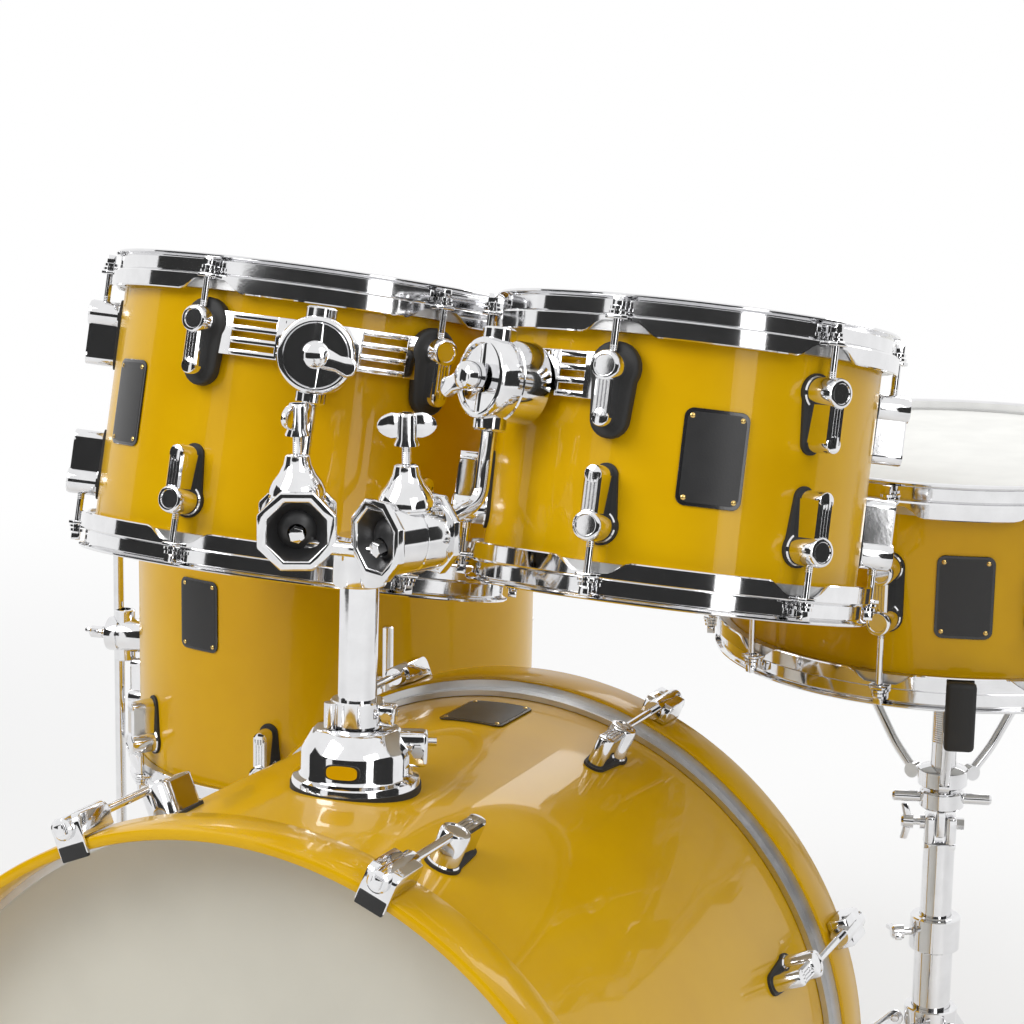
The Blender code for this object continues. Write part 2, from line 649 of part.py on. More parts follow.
def holder_wing(name, side, heading, kit):
    frame = new_frame(name + "_screw", Matrix.Translation(ball_spot(side)) @ turn(heading + 62.0), kit)
    rise = WING_HIGH - WING_LOW
    right = [(WING_HUB * 0.6, 0.0), (WING_HALF * 0.85, 0.25 * rise), (WING_HALF, 0.5 * rise), (WING_HALF * 0.8, 0.75 * rise)]
    right += [(WING_HUB, rise)]
    outline = right + [(-x, y) for x, y in reversed(right)]
    blade = outline_mesh("wing", outline, 0.005)
    wing = new_part(name, blade, CHROME, frame, shift(z=WING_LOW) @ turn(90.0, "X"))
    hub = cylinder_mesh("wing_hub", WING_HUB, rise, 8, shift(z=(WING_LOW + WING_HIGH) / 2.0))
    combine(wing, new_tool(name + "_hub", hub, frame), "UNION")
    bore = cylinder_mesh("wing_bore", SCREW_RADIUS + 2.0 * GAP, 2.0 * rise, 12, shift(z=(WING_LOW + WING_HIGH) / 2.0))
    combine(wing, new_tool(name + "_bore", bore, frame), "DIFFERENCE")
    return wing


def holder_ball(name, side, run, kit):
    frame = new_frame(name + "_centre", Matrix.Translation(ball_spot(side)), kit)
    bm = bmesh.new()
    bmesh.ops.create_uvsphere(bm, u_segments=12, v_segments=8, radius=BALL_RADIUS)
    facing = run.to_track_quat("Z", "Y").to_matrix().to_4x4()
    ball = new_part(name, mesh_from(bm, name), BLACK_PLASTIC, frame, facing)
    bore = cylinder_mesh("rod_bore", HEX_BORE, 3.0 * BALL_RADIUS, 10)
    combine(ball, new_tool(name + "_bore", bore, frame, facing), "DIFFERENCE")
    return ball


def tom_rod(name, side, elbow, top, kit):
    centre = ball_spot(side)
    frame = new_frame(name + "_slide", Matrix.Translation(centre), kit)
    run = (elbow - centre).normalized()
    path = bend(-run * ROD_BEYOND_BALL, elbow - centre, top - centre, ROD_BEND, 4)
    return new_part(name, bar_mesh(name, path, HEX_RADIUS, 1), CHROME, frame)


# Rack toms

def mount_height(depth):
    return depth / 2.0 - CAP_FROM_EDGE - MOUNT_BELOW_CAP


def rod_on_tom(frame, radius, azimuth, height):
    spot = outward(azimuth) * (radius + ROD_FROM_SHELL)
    spot.z = height
    return frame.matrix_basis @ spot


def tom_mount(name, frame, radius, depth, azimuth):
    height = mount_height(depth)
    spot = turn(azimuth)
    # The plate ends where the isolators of the two neighbouring lugs begin
    half = 180.0 / TOM_LUGS - math.degrees((CAP_RADIUS + GAP) / (radius + PLATE_IN))
    outer = arc((0.0, 0.0), radius + PLATE_OUT, -90.0 - half, -90.0 + half, 6)
    inner = arc((0.0, 0.0), radius + PLATE_IN, -90.0 + half, -90.0 - half, 6)
    plate = outline_mesh("mount_plate", outer + inner, PLATE_HIGH)
    mount = new_part(name, plate, CHROME, frame, spot @ shift(z=height + PLATE_ABOVE_MOUNT))
    long = MOUNT_OUT - MOUNT_IN
    housing = cylinder_mesh("clamp_housing", MOUNT_RADIUS, long, 16, turn(90.0, "X"))
    at = spot @ shift(0.0, -(radius + MOUNT_IN + long / 2.0), height)
    combine(mount, new_tool(name + "_housing", housing, frame, at), "UNION")
    bore = cylinder_mesh("mount_bore", HEX_BORE, 0.1, 10)
    combine(mount, new_tool(name + "_bore", bore, frame, spot @ shift(0.0, -(radius + ROD_FROM_SHELL), height)), "DIFFERENCE")
    return mount


def tom_lever(name, frame, radius, depth, azimuth, turned):
    start = radius + MOUNT_OUT + GAP
    at = turn(azimuth) @ shift(0.0, -(start + LEVER_OUT / 2.0), mount_height(depth))
    pivot = new_frame(name + "_screw", at, frame)
    hub = cylinder_mesh("lever_hub", LEVER_HUB, LEVER_OUT, 12, turn(90.0, "X"))
    lever = new_part(name, hub, CHROME, pivot)
    blade = arc((0.0, 0.0), LEVER_HUB * 0.8, 60.0, 300.0, 4)
    blade += [(LEVER_REACH, -0.007), (LEVER_REACH + 0.002, 0.0), (LEVER_REACH, 0.007)]
    mesh = outline_mesh("lever_blade", blade, LEVER_THICK)
    combine(lever, new_tool(name + "_blade", mesh, pivot, turn(turned, "Y") @ turn(90.0, "X") @ shift(z=0.002)), "UNION")
    return lever


def rack_tom(name, frame, radius, depth, first, azimuth, turned):
    metal_drum(name, frame, radius, depth, TOM_LUGS, first, CAP_FROM_EDGE)
    tom_mount(name + "_mount", frame, radius, depth, azimuth)
    tom_lever(name + "_lever", frame, radius, depth, azimuth, turned)


# Floor tom

def floor_tom(frame, kit):
    shell = metal_drum(
        "floor_tom", frame, FLOOR_TOM_RADIUS, FLOOR_TOM_DEPTH, FLOOR_TOM_LUGS, FLOOR_TOM_LUG, CAP_FROM_EDGE)
    spots = around(LEG_COUNT, LEG_AZ)
    inner = FLOOR_TOM_RADIUS - 0.5 * DRUM_WALL
    bracket = box_mesh(
        "leg_bracket", (-BRACKET_HALF, -(FLOOR_TOM_RADIUS + BRACKET_OUT), BRACKET_LOW), (BRACKET_HALF, -inner, BRACKET_HIGH))
    combine(shell, new_tool("leg_brackets", repeated("leg_brackets", bracket, spots), frame), "UNION")
    reach = FLOOR_TOM_RADIUS + LEG_OUT
    bore = cylinder_mesh("leg_bore", LEG_RADIUS + 2.0 * GAP, 0.2, 8, shift(0.0, -reach, (BRACKET_LOW + BRACKET_HIGH) / 2.0))
    combine(shell, new_tool("leg_bores", repeated("leg_bores", bore, spots), frame), "DIFFERENCE")
    profile = [
        (0.0, LEG_TOP), (LEG_RADIUS, LEG_TOP), (LEG_RADIUS, LEG_FOOT_HIGH), (LEG_FOOT, 0.6 * LEG_FOOT_HIGH),
        (LEG_FOOT, 0.0), (0.0, 0.0),
    ]
    for number in range(LEG_COUNT):
        azimuth = LEG_AZ + 360.0 * number / LEG_COUNT
        at = Matrix.Translation(Vector((*FLOOR_TOM_PLACE, 0.0)) + outward(azimuth) * reach) @ turn(azimuth + 180.0 / 8)
        turned_part(f"floor_tom_leg_{number + 1}", profile, 8, CHROME, kit, at)


# Snare drum

def snare_drum(frame):
    shell = metal_drum(
        "snare", frame, SNARE_RADIUS, SNARE_DEPTH, SNARE_LUGS, SNARE_LUG, SNARE_CAP_FROM_EDGE, double=True, top_look=WHITE_FILM)
    inner = SNARE_RADIUS - 0.5 * DRUM_WALL
    block = box_mesh(
        "strainer", (-STRAINER_HALF, -(SNARE_RADIUS + STRAINER_OUT), STRAINER_LOW), (STRAINER_HALF, -inner, STRAINER_TOP))
    spots = [turn(STRAINER_AZ), turn(STRAINER_AZ + 180.0)]
    combine(shell, new_tool("strainer_and_butt", repeated("strainer_and_butt", block, spots), frame), "UNION")
    wires = box_mesh(
        "snare_wires", (-WIRE_WIDE / 2.0, -WIRE_LONG / 2.0, -WIRE_THICK / 2.0), (WIRE_WIDE / 2.0, WIRE_LONG / 2.0, WIRE_THICK / 2.0))
    below = SNARE_DEPTH / 2.0 + FILM_THICK + 2.0 * GAP + WIRE_THICK / 2.0
    new_part("snare_wires", wires, STEEL, frame, turn(STRAINER_AZ) @ shift(z=-below))
    pivot = new_frame("strainer_pivot", strainer_pivot(), frame)
    half = LEVER_DEEP / 2.0
    outline = arc((0.0, 0.0), half, 180.0, 360.0, 6) + [(half, LEVER_TALL), (-half, LEVER_TALL)]
    lever = outline_mesh("snare_strainer_lever", outline, 2.0 * LEVER_HALF)
    upright = Matrix(((0.0, 0.0, 1.0), (1.0, 0.0, 0.0), (0.0, 1.0, 0.0))).to_4x4()
    new_part("snare_strainer_lever", lever, CHROME, pivot, upright)


def strainer_pivot():
    return turn(STRAINER_AZ) @ shift(0.0, -(SNARE_RADIUS + STRAINER_OUT + GAP + LEVER_DEEP / 2.0), LEVER_PIVOT)


# Snare stand

def stand_foot():
    # The upright tubes stand under the tilter's pivot, which lies on the snare drum's axis
    axis = leaning(SNARE_PLACE, SNARE_BACK, SNARE_SIDE)
    down = (SNARE_PLACE[2] - TILTER_HIGH) / (axis.to_3x3() @ Vector((0.0, 0.0, 1.0))).z
    pivot = axis @ Vector((0.0, 0.0, -down))
    return Vector((pivot.x, pivot.y, 0.0)), down


def stand_tubes(frame):
    bore = UPPER_RADIUS + GAP
    lower = [(LOWER_RADIUS, LOWER_TO), (LOWER_RADIUS, LOWER_FROM), (bore, LOWER_FROM), (bore, LOWER_TO)]
    tube = turned_part("stand_lower_tube", lower, STAND_SIDES, CHROME, frame)
    hub = [
        (TRIPOD_COLLAR, TRIPOD_HUB_HIGH), (TRIPOD_COLLAR, TRIPOD_HUB_LOW), (bore + 0.001, TRIPOD_HUB_LOW),
        (bore + 0.001, TRIPOD_HUB_HIGH),
    ]
    combine(tube, turned_tool("tripod_hub", hub, STAND_SIDES, frame), "UNION")
    low = TILTER_HIGH + YOKE_LOW
    upper = turned_part("stand_upper_tube", rod_profile(UPPER_RADIUS, UPPER_FROM, low + 0.004), STAND_SIDES, CHROME, frame)
    yoke = box_mesh(
        "tilter_yoke", (-YOKE_HALF, -YOKE_DEEP, low), (YOKE_HALF, YOKE_DEEP, low + YOKE_TALL))
    combine(upper, new_tool("tilter_yoke", yoke, frame, turn(STAND_AZ)), "UNION")
    slot = box_mesh(
        "tilter_slot", (-YOKE_GAP / 2.0, -2.0 * YOKE_DEEP, low + 0.006), (YOKE_GAP / 2.0, 2.0 * YOKE_DEEP, low + 2.0 * YOKE_TALL))
    combine(upper, new_tool("tilter_slot", slot, frame, turn(STAND_AZ)), "DIFFERENCE")


def tripod_points():
    # In the plane of a leg: its pivot, its foot and where the brace meets it, as distance out and height
    pivot = Vector((TRIPOD_PIVOT_OUT, (TRIPOD_COLLAR_LOW + TRIPOD_COLLAR_HIGH) / 2.0))
    foot = Vector((TRIPOD_REACH, TRIPOD_FOOT_HIGH / 2.0))
    joint = pivot.lerp(foot, BRACE_SHARE)
    hub = Vector((TRIPOD_PIVOT_OUT, (TRIPOD_HUB_LOW + TRIPOD_HUB_HIGH) / 2.0))
    return pivot, foot, joint, hub


def strip(name, start, end, look, parent):
    # A flat strip between two pivots in the leg's plane, X across, Y outward reversed, Z up
    run = Vector((0.0, -(end.x - start.x), end.y - start.y))
    half = STRIP_WIDE / 2.0
    outline = arc((0.0, 0.0), half, 90.0, 270.0, 4) + arc((run.length, 0.0), half, -90.0, 90.0, 4)
    mesh = outline_mesh(name, outline, STRIP_THICK)
    along = run.normalized()
    across = Vector((1.0, 0.0, 0.0))
    side = across.cross(along)
    matrix = Matrix((along, side, across)).transposed().to_4x4()
    return new_part(name, mesh, look, parent, matrix)


def tripod(frame):
    pivot, foot, joint, hub = tripod_points()
    ring_in = LOWER_RADIUS + GAP
    ring = [
        (TRIPOD_COLLAR, TRIPOD_COLLAR_HIGH), (TRIPOD_COLLAR, TRIPOD_COLLAR_LOW), (ring_in, TRIPOD_COLLAR_LOW),
        (ring_in, TRIPOD_COLLAR_HIGH),
    ]
    turned_part("stand_leg_collar", ring, STAND_SIDES, CHROME, frame)
    for number in range(3):
        spot = turn(TRIPOD_AZ + 120.0 * number)
        at = new_frame(f"leg_pivot_{number + 1}", spot @ shift(0.0, -pivot.x, pivot.y), frame)
        leg = strip(f"stand_leg_{number + 1}", pivot, foot, CHROME, at)
        run = foot - pivot
        pad = box_mesh(
            "stand_pad", (-TRIPOD_FOOT_WIDE / 2.0, -TRIPOD_FOOT_LONG / 2.0, -TRIPOD_FOOT_HIGH / 2.0),
            (TRIPOD_FOOT_WIDE / 2.0, TRIPOD_FOOT_LONG / 2.0, TRIPOD_FOOT_HIGH / 2.0))
        combine(leg, new_tool(f"stand_pad_{number + 1}", pad, at, shift(0.0, -run.x, run.y)), "UNION")
        aside = shift(x=STRIP_THICK + GAP)
        at = new_frame(f"brace_pivot_{number + 1}", spot @ shift(0.0, -hub.x, hub.y) @ aside, frame)
        strip(f"stand_brace_{number + 1}", hub, joint, CHROME, at)


def basket(frame):
    # Frame: the tilter's pivot, Z along the basket's tube
    tube_low = YOKE_LOW + YOKE_TALL + 0.004
    profile = [
        (0.0, BASKET_TUBE_TOP), (BASKET_TUBE, BASKET_TUBE_TOP), (BASKET_TUBE, BASKET_PIVOT + 0.009),
        (BASKET_PLATE, BASKET_PIVOT + 0.007), (BASKET_PLATE, BASKET_PIVOT - 0.007), (BASKET_TUBE, BASKET_PIVOT - 0.009),
        (BASKET_TUBE, tube_low), (0.0, tube_low),
    ]
    hub = turned_part("basket_hub", profile, STAND_SIDES, CHROME, frame)
    tongue = box_mesh(
        "tilter_tongue", (-YOKE_GAP / 2.0 + GAP, -TONGUE_TALL * 0.8, -TONGUE_TALL), (YOKE_GAP / 2.0 - GAP, TONGUE_TALL * 0.8, tube_low + 0.002))
    combine(hub, new_tool("tilter_tongue", tongue, frame, turn(STAND_AZ)), "UNION")
    # The bore clears the tube's corners, so the nut can turn on it
    bore = BASKET_TUBE / math.cos(math.pi / STAND_SIDES) + GAP
    ring = [(NUT_RADIUS, NUT_TOP), (NUT_RADIUS, NUT_LOW + 0.002), (bore, NUT_LOW + 0.002), (bore, NUT_TOP)]
    nut = turned_part("basket_nut", ring, STAND_SIDES, CHROME, frame)
    middle = (NUT_LOW + NUT_TOP) / 2.0
    for side in (LEFT, RIGHT):
        handle = cylinder_mesh(
            "nut_handle", NUT_BAR_THICK, NUT_BAR_HALF - NUT_RADIUS + 0.004, 8,
            turn(STAND_AZ) @ shift(side * (NUT_BAR_HALF + NUT_RADIUS - 0.004) / 2.0, 0.0, middle) @ turn(90.0, "Y"))
        combine(nut, new_tool(f"nut_handle_{side}", handle, frame), "UNION")


def basket_arms(frame, hoop_bottom):
    # hoop_bottom is how high the drum's lower hoop ends over the tilter's pivot
    sleeve_in = SNARE_RADIUS + SKIRT_OUT + 0.0035
    seat = hoop_bottom - SEAT_BELOW_HOOP
    for number in range(3):
        azimuth = STAND_AZ + 120.0 * number
        pivot = new_frame(
            f"arm_pivot_{number + 1}", turn(azimuth) @ shift(0.0, -ARM_PIVOT_OUT, BASKET_PIVOT), frame)
        path = [
            (0.0, 0.0, 0.0), (0.0, -0.018, 0.020), (0.0, -0.042, 0.058), (0.0, -0.085, seat - BASKET_PIVOT - 0.004),
            (0.0, -(sleeve_in + ARM_SLEEVE_DEEP / 2.0 - ARM_PIVOT_OUT), seat - BASKET_PIVOT),
        ]
        arm = new_part(f"basket_arm_{number + 1}", bar_mesh("arm", path, ARM_THICK, 1), CHROME, pivot)
        eye = cylinder_mesh("arm_eye", ARM_EYE, ARM_EYE_WIDE, 8, turn(90.0, "Y"))
        combine(arm, new_tool(f"arm_eye_{number + 1}", eye, pivot), "UNION")
        out = sleeve_in - ARM_PIVOT_OUT
        sleeve = box_mesh(
            "sleeve", (-ARM_SLEEVE_WIDE / 2.0, -(out + ARM_SLEEVE_DEEP), seat - BASKET_PIVOT - 0.006),
            (ARM_SLEEVE_WIDE / 2.0, -out, seat - BASKET_PIVOT - 0.006 + ARM_SLEEVE_TALL))
        combine(arm, new_tool(f"sleeve_{number + 1}", sleeve, pivot), "UNION")
        rest = box_mesh(
            "rest", (-ARM_SLEEVE_WIDE / 2.0, -(out + 0.002), seat - BASKET_PIVOT + 0.003),
            (ARM_SLEEVE_WIDE / 2.0, -(out - 0.016), hoop_bottom - BASKET_PIVOT - GAP))
        combine(arm, new_tool(f"rest_{number + 1}", rest, pivot), "UNION")


# The kit

clear_scene()
PARTS = new_collection("drum_kit")
TOOLS = new_collection("cutters")
LACQUER = new_material("yellow_lacquer", (0.63, 0.36, 0.008), 0.12, 0.0)
CHROME = new_material("chrome", (0.80, 0.80, 0.82), 0.08, 1.0)
STEEL = new_material("steel_wire", (0.55, 0.55, 0.56), 0.30, 1.0)
BLACK_PLASTIC = new_material("black_plastic", (0.015, 0.015, 0.016), 0.35, 0.0)
CLEAR_FILM = new_material("clear_film", (0.80, 0.80, 0.78), 0.30, 0.0)
WHITE_FILM = new_material("white_film", (0.86, 0.86, 0.84), 0.60, 0.0)
GREY_FILM = new_material("grey_film", (0.55, 0.54, 0.47), 0.45, 0.0)


def build_kit():
    kit = new_frame("kit", shift(-KIT_CENTRE_X, -KIT_CENTRE_Y))

    bass = new_frame("bass_axis", bass_level() @ turn(-90.0, "X"), kit)
    phase = 180.0 / BASS_SIDES
    bass_shell(bass, phase)
    bass_head("bass_front_head", bass, -1, GREY_FILM, phase)
    bass_head("bass_batter_head", bass, 1, WHITE_FILM, phase)
    bass_hoop("bass_front_hoop", bass, -1, phase)
    bass_hoop("bass_batter_hoop", bass, 1, phase)
    for side, name in ((LEFT, "bass_spur_left"), (RIGHT, "bass_spur_right")):
        bass_spur(name, side, kit)

    left = new_frame("left_tom_axis", leaning(LEFT_TOM_PLACE, LEFT_TOM_BACK, LEFT_TOM_SIDE), kit)
    right = new_frame("right_tom_axis", leaning(RIGHT_TOM_PLACE, RIGHT_TOM_BACK, RIGHT_TOM_SIDE), kit)
    left_mount = LEFT_TOM_LUG + 180.0 / TOM_LUGS
    right_mount = RIGHT_TOM_LUG - 180.0 / TOM_LUGS
    rack_tom("left_tom", left, LEFT_TOM_RADIUS, LEFT_TOM_DEPTH, LEFT_TOM_LUG, left_mount, 14.0)
    rack_tom("right_tom", right, RIGHT_TOM_RADIUS, RIGHT_TOM_DEPTH, RIGHT_TOM_LUG, right_mount, 160.0)

    holder = new_frame("post_axis", bass_level() @ shift(y=HOLDER_BACK), kit)
    holder_base(holder)
    holder_post(holder)
    headings = []
    for side, name, frame, radius, depth, azimuth, elbow_high in (
        (LEFT, "left", left, LEFT_TOM_RADIUS, LEFT_TOM_DEPTH, left_mount, LEFT_ELBOW),
        (RIGHT, "right", right, RIGHT_TOM_RADIUS, RIGHT_TOM_DEPTH, right_mount, RIGHT_ELBOW),
    ):
        elbow = rod_on_tom(frame, radius, azimuth, elbow_high)
        top = rod_on_tom(frame, radius, azimuth, mount_height(depth) + 0.75 * MOUNT_RADIUS)
        run = ball_spot(side) - elbow
        heading = math.degrees(math.atan2(run.x, -run.y))
        headings.append((side, heading))
        tom_rod(f"{name}_tom_rod", side, elbow, top, kit)
        holder_ball(f"{name}_ball", side, run.normalized(), kit)
        holder_wing(f"{name}_wing_nut", side, heading, kit)
    holder_head(holder, kit, headings)

    floor_frame = new_frame("floor_tom_axis", shift(*FLOOR_TOM_PLACE, FLOOR_TOM_MIDDLE), kit)
    floor_tom(floor_frame, kit)

    snare = new_frame("snare_axis", leaning(SNARE_PLACE, SNARE_BACK, SNARE_SIDE), kit)
    snare_drum(snare)
    foot, down = stand_foot()
    upright = new_frame("stand_axis", Matrix.Translation(foot), kit)
    stand_tubes(upright)
    tripod(upright)
    tilter = new_frame("tilter_pivot", snare.matrix_basis @ shift(z=-down), kit)
    basket(tilter)
    basket_arms(tilter, down - SNARE_DEPTH / 2.0 - LIP_UP)


build_kit()
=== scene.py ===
import math
import json

import bmesh
import bpy
from mathutils import Matrix, Vector

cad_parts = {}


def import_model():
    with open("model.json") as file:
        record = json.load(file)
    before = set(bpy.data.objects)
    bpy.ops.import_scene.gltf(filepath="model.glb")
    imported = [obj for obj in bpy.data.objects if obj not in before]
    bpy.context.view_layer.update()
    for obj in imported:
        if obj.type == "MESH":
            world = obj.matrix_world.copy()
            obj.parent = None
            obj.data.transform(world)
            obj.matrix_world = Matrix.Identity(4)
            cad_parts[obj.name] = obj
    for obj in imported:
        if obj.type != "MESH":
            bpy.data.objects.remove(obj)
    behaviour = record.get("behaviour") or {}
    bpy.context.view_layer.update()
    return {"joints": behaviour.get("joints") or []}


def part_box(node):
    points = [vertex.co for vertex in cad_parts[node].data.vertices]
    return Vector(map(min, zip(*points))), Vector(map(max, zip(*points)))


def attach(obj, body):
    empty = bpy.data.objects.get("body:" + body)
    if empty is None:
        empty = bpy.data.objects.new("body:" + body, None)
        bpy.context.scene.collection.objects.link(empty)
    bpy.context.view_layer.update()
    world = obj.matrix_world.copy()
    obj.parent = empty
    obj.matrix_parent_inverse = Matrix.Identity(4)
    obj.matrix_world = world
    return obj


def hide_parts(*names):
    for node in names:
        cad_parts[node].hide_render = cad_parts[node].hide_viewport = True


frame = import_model()
joints = {j["name"]: j for j in frame["joints"]}
inch = 0.0254


# small helpers for placing and shaping

def turn(degrees, axis="Z"):
    return Matrix.Rotation(math.radians(degrees), 4, axis)


def shift(x=0.0, y=0.0, z=0.0):
    return Matrix.Translation((x, y, z))


def outward(azimuth):
    return Vector((math.sin(math.radians(azimuth)), -math.cos(math.radians(azimuth)), 0.0))


def spots(count, first, z=0.0):
    return [turn(first + 360.0 * k / count) @ shift(z=z) for k in range(count)]


def arc(cx, cy, radius, start, end, steps):
    return [
        (cx + radius * math.cos(math.radians(start + (end - start) * k / steps)),
         cy + radius * math.sin(math.radians(start + (end - start) * k / steps)))
        for k in range(steps + 1)
    ]


def spun(profile, segments=96):
    # a loop or an open line of (radius, height) turned round Z
    bm = bmesh.new()
    verts = [bm.verts.new((r, 0.0, z)) for r, z in profile]
    for a, b in zip(verts, verts[1:]):
        bm.edges.new((a, b))
    if profile[0][0] > 0.0 and profile[-1][0] > 0.0:
        bm.edges.new((verts[-1], verts[0]))
    bmesh.ops.spin(
        bm, geom=bm.verts[:] + bm.edges[:], axis=(0, 0, 1), cent=(0, 0, 0),
        steps=segments, angle=2.0 * math.pi, use_merge=True)
    bmesh.ops.remove_doubles(bm, verts=bm.verts, dist=1e-6)
    bmesh.ops.recalc_face_normals(bm, faces=bm.faces)
    return bm


def slab(outline, thick, centre=0.0):
    # a flat outline in X and Y given its thickness along Z
    bm = bmesh.new()
    face = bm.faces.new([bm.verts.new((x, y, centre - thick / 2.0)) for x, y in outline])
    side = bmesh.ops.extrude_face_region(bm, geom=[face])
    moved = [v for v in side["geom"] if isinstance(v, bmesh.types.BMVert)]
    bmesh.ops.translate(bm, verts=moved, vec=(0.0, 0.0, thick))
    bmesh.ops.recalc_face_normals(bm, faces=bm.faces)
    return bm


def brick(low, high):
    size = Vector(high) - Vector(low)
    middle = (Vector(high) + Vector(low)) / 2.0
    bm = bmesh.new()
    bmesh.ops.create_cube(bm, size=1.0, matrix=Matrix.Translation(middle) @ Matrix.Diagonal((*size, 1.0)))
    return bm


def rod(radius, low, high, sides=24, top=None):
    bm = bmesh.new()
    bmesh.ops.create_cone(
        bm, cap_ends=True, segments=sides, radius1=radius, radius2=top or radius, depth=high - low,
        matrix=shift(z=(low + high) / 2.0))
    return bm


def ball(radius, rings=24):
    bm = bmesh.new()
    bmesh.ops.create_uvsphere(bm, u_segments=2 * rings, v_segments=rings, radius=radius)
    return bm


def swept(points, radius, sides=12):
    # a bar along points: rings set square to the path and bridged
    bm = bmesh.new()
    rings = []
    side = None
    for k, p in enumerate(points):
        before = points[max(k - 1, 0)]
        after = points[min(k + 1, len(points) - 1)]
        along = (Vector(after) - Vector(before)).normalized()
        if side is None:
            side = along.orthogonal().normalized()
        side = (side - along * side.dot(along)).normalized()
        other = along.cross(side)
        rings.append([
            bm.verts.new(Vector(p) + radius * (math.cos(2 * math.pi * n / sides) * side
                                               + math.sin(2 * math.pi * n / sides) * other))
            for n in range(sides)])
    for a, b in zip(rings, rings[1:]):
        for n in range(sides):
            bm.faces.new((a[n], a[(n + 1) % sides], b[(n + 1) % sides], b[n]))
    bm.faces.new(rings[0][::-1])
    bm.faces.new(rings[-1])
    bmesh.ops.recalc_face_normals(bm, faces=bm.faces)
    return bm


def rounded(start, corner, end, radius, steps=8):
    start, corner, end = Vector(start), Vector(corner), Vector(end)
    first = corner + (start - corner).normalized() * radius
    last = corner + (end - corner).normalized() * radius
    middle = [
        first.lerp(corner, k / steps).lerp(corner.lerp(last, k / steps), k / steps) for k in range(steps + 1)]
    return [start] + middle + [end]


def soften(bm, width, steps=2, least=35.0):
    edges = [e for e in bm.edges if e.is_manifold and e.calc_face_angle(0.0) > math.radians(least)]
    if edges and width > 0.0:
        bmesh.ops.bevel(
            bm, geom=edges, offset=width, offset_type="OFFSET", affect="EDGES", segments=steps,
            profile=0.5, material=-1, clamp_overlap=True)
    return bm


def gather(parts, matrices=None):
    # several shapes, each at every matrix, as one
    whole = bmesh.new()
    for bm in parts:
        mesh = bpy.data.meshes.new("part")
        bm.to_mesh(mesh)
        bm.free()
        for matrix in matrices or [Matrix.Identity(4)]:
            copy = mesh.copy()
            copy.transform(matrix)
            whole.from_mesh(copy)
            bpy.data.meshes.remove(copy)
        bpy.data.meshes.remove(mesh)
    return whole


def moved(bm, matrix):
    bm.transform(matrix)
    if matrix.determinant() < 0.0:
        bmesh.ops.reverse_faces(bm, faces=bm.faces)
    return bm


def piece(name, bm, look, body, at=None, stands=(), smooth=38.0):
    if at is not None:
        bm.transform(at)
    mesh = bpy.data.meshes.new(name)
    bm.to_mesh(mesh)
    bm.free()
    mesh.materials.append(look)
    mesh.shade_smooth()
    mesh.set_sharp_from_angle(angle=math.radians(smooth))
    made = bpy.data.objects.new(name, mesh)
    bpy.context.scene.collection.objects.link(made)
    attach(made, body)
    if stands:
        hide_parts(*stands)
    return made


# finishes

finishValues = {
    "lacquerColour": (0.70, 0.405, 0.0010),
    "lacquerDeep": (0.66, 0.370, 0.0008),
    "chromeColour": (0.83, 0.83, 0.84),
    "aluminiumColour": (0.66, 0.66, 0.66),
    "filmGrey": (0.62, 0.60, 0.52),
    "filmWhite": (0.80, 0.80, 0.77),
    "filmClear": (0.58, 0.58, 0.56),
}


def finish(name, colour, roughness, metallic=0.0, second=None, scale=40.0, spread=0.04, bump=0.0,
           bumpScale=900.0, coat=0.0, detail=4.0, shine=0.5):
    # one Principled surface with drifting colour and roughness, and fine bump where there is any
    look = bpy.data.materials.new(name)
    look.use_nodes = True
    nodes, links = look.node_tree.nodes, look.node_tree.links
    shader = nodes["Principled BSDF"]
    shader.inputs["Metallic"].default_value = metallic
    shader.inputs["Coat Weight"].default_value = coat
    shader.inputs["Specular IOR Level"].default_value = shine
    shader.inputs["Coat Roughness"].default_value = 0.03
    place = nodes.new("ShaderNodeTexCoord")
    noise = nodes.new("ShaderNodeTexNoise")
    noise.inputs["Scale"].default_value = scale
    noise.inputs["Detail"].default_value = detail
    links.new(place.outputs["Object"], noise.inputs["Vector"])
    tint = nodes.new("ShaderNodeValToRGB")
    tint.color_ramp.elements[0].position = 0.35
    tint.color_ramp.elements[1].position = 0.65
    tint.color_ramp.elements[0].color = (*(second or [c * 0.93 for c in colour]), 1.0)
    tint.color_ramp.elements[1].color = (*colour, 1.0)
    links.new(noise.outputs["Fac"], tint.inputs["Fac"])
    links.new(tint.outputs["Color"], shader.inputs["Base Color"])
    level = nodes.new("ShaderNodeMapRange")
    level.inputs["To Min"].default_value = max(roughness - spread, 0.01)
    level.inputs["To Max"].default_value = roughness + spread
    links.new(noise.outputs["Fac"], level.inputs["Value"])
    links.new(level.outputs["Result"], shader.inputs["Roughness"])
    if bump > 0.0:
        grain = nodes.new("ShaderNodeTexNoise")
        grain.inputs["Scale"].default_value = bumpScale
        links.new(place.outputs["Object"], grain.inputs["Vector"])
        relief = nodes.new("ShaderNodeBump")
        relief.inputs["Strength"].default_value = bump
        relief.inputs["Distance"].default_value = 0.0004
        links.new(grain.outputs["Fac"], relief.inputs["Height"])
        links.new(relief.outputs["Normal"], shader.inputs["Normal"])
    return look


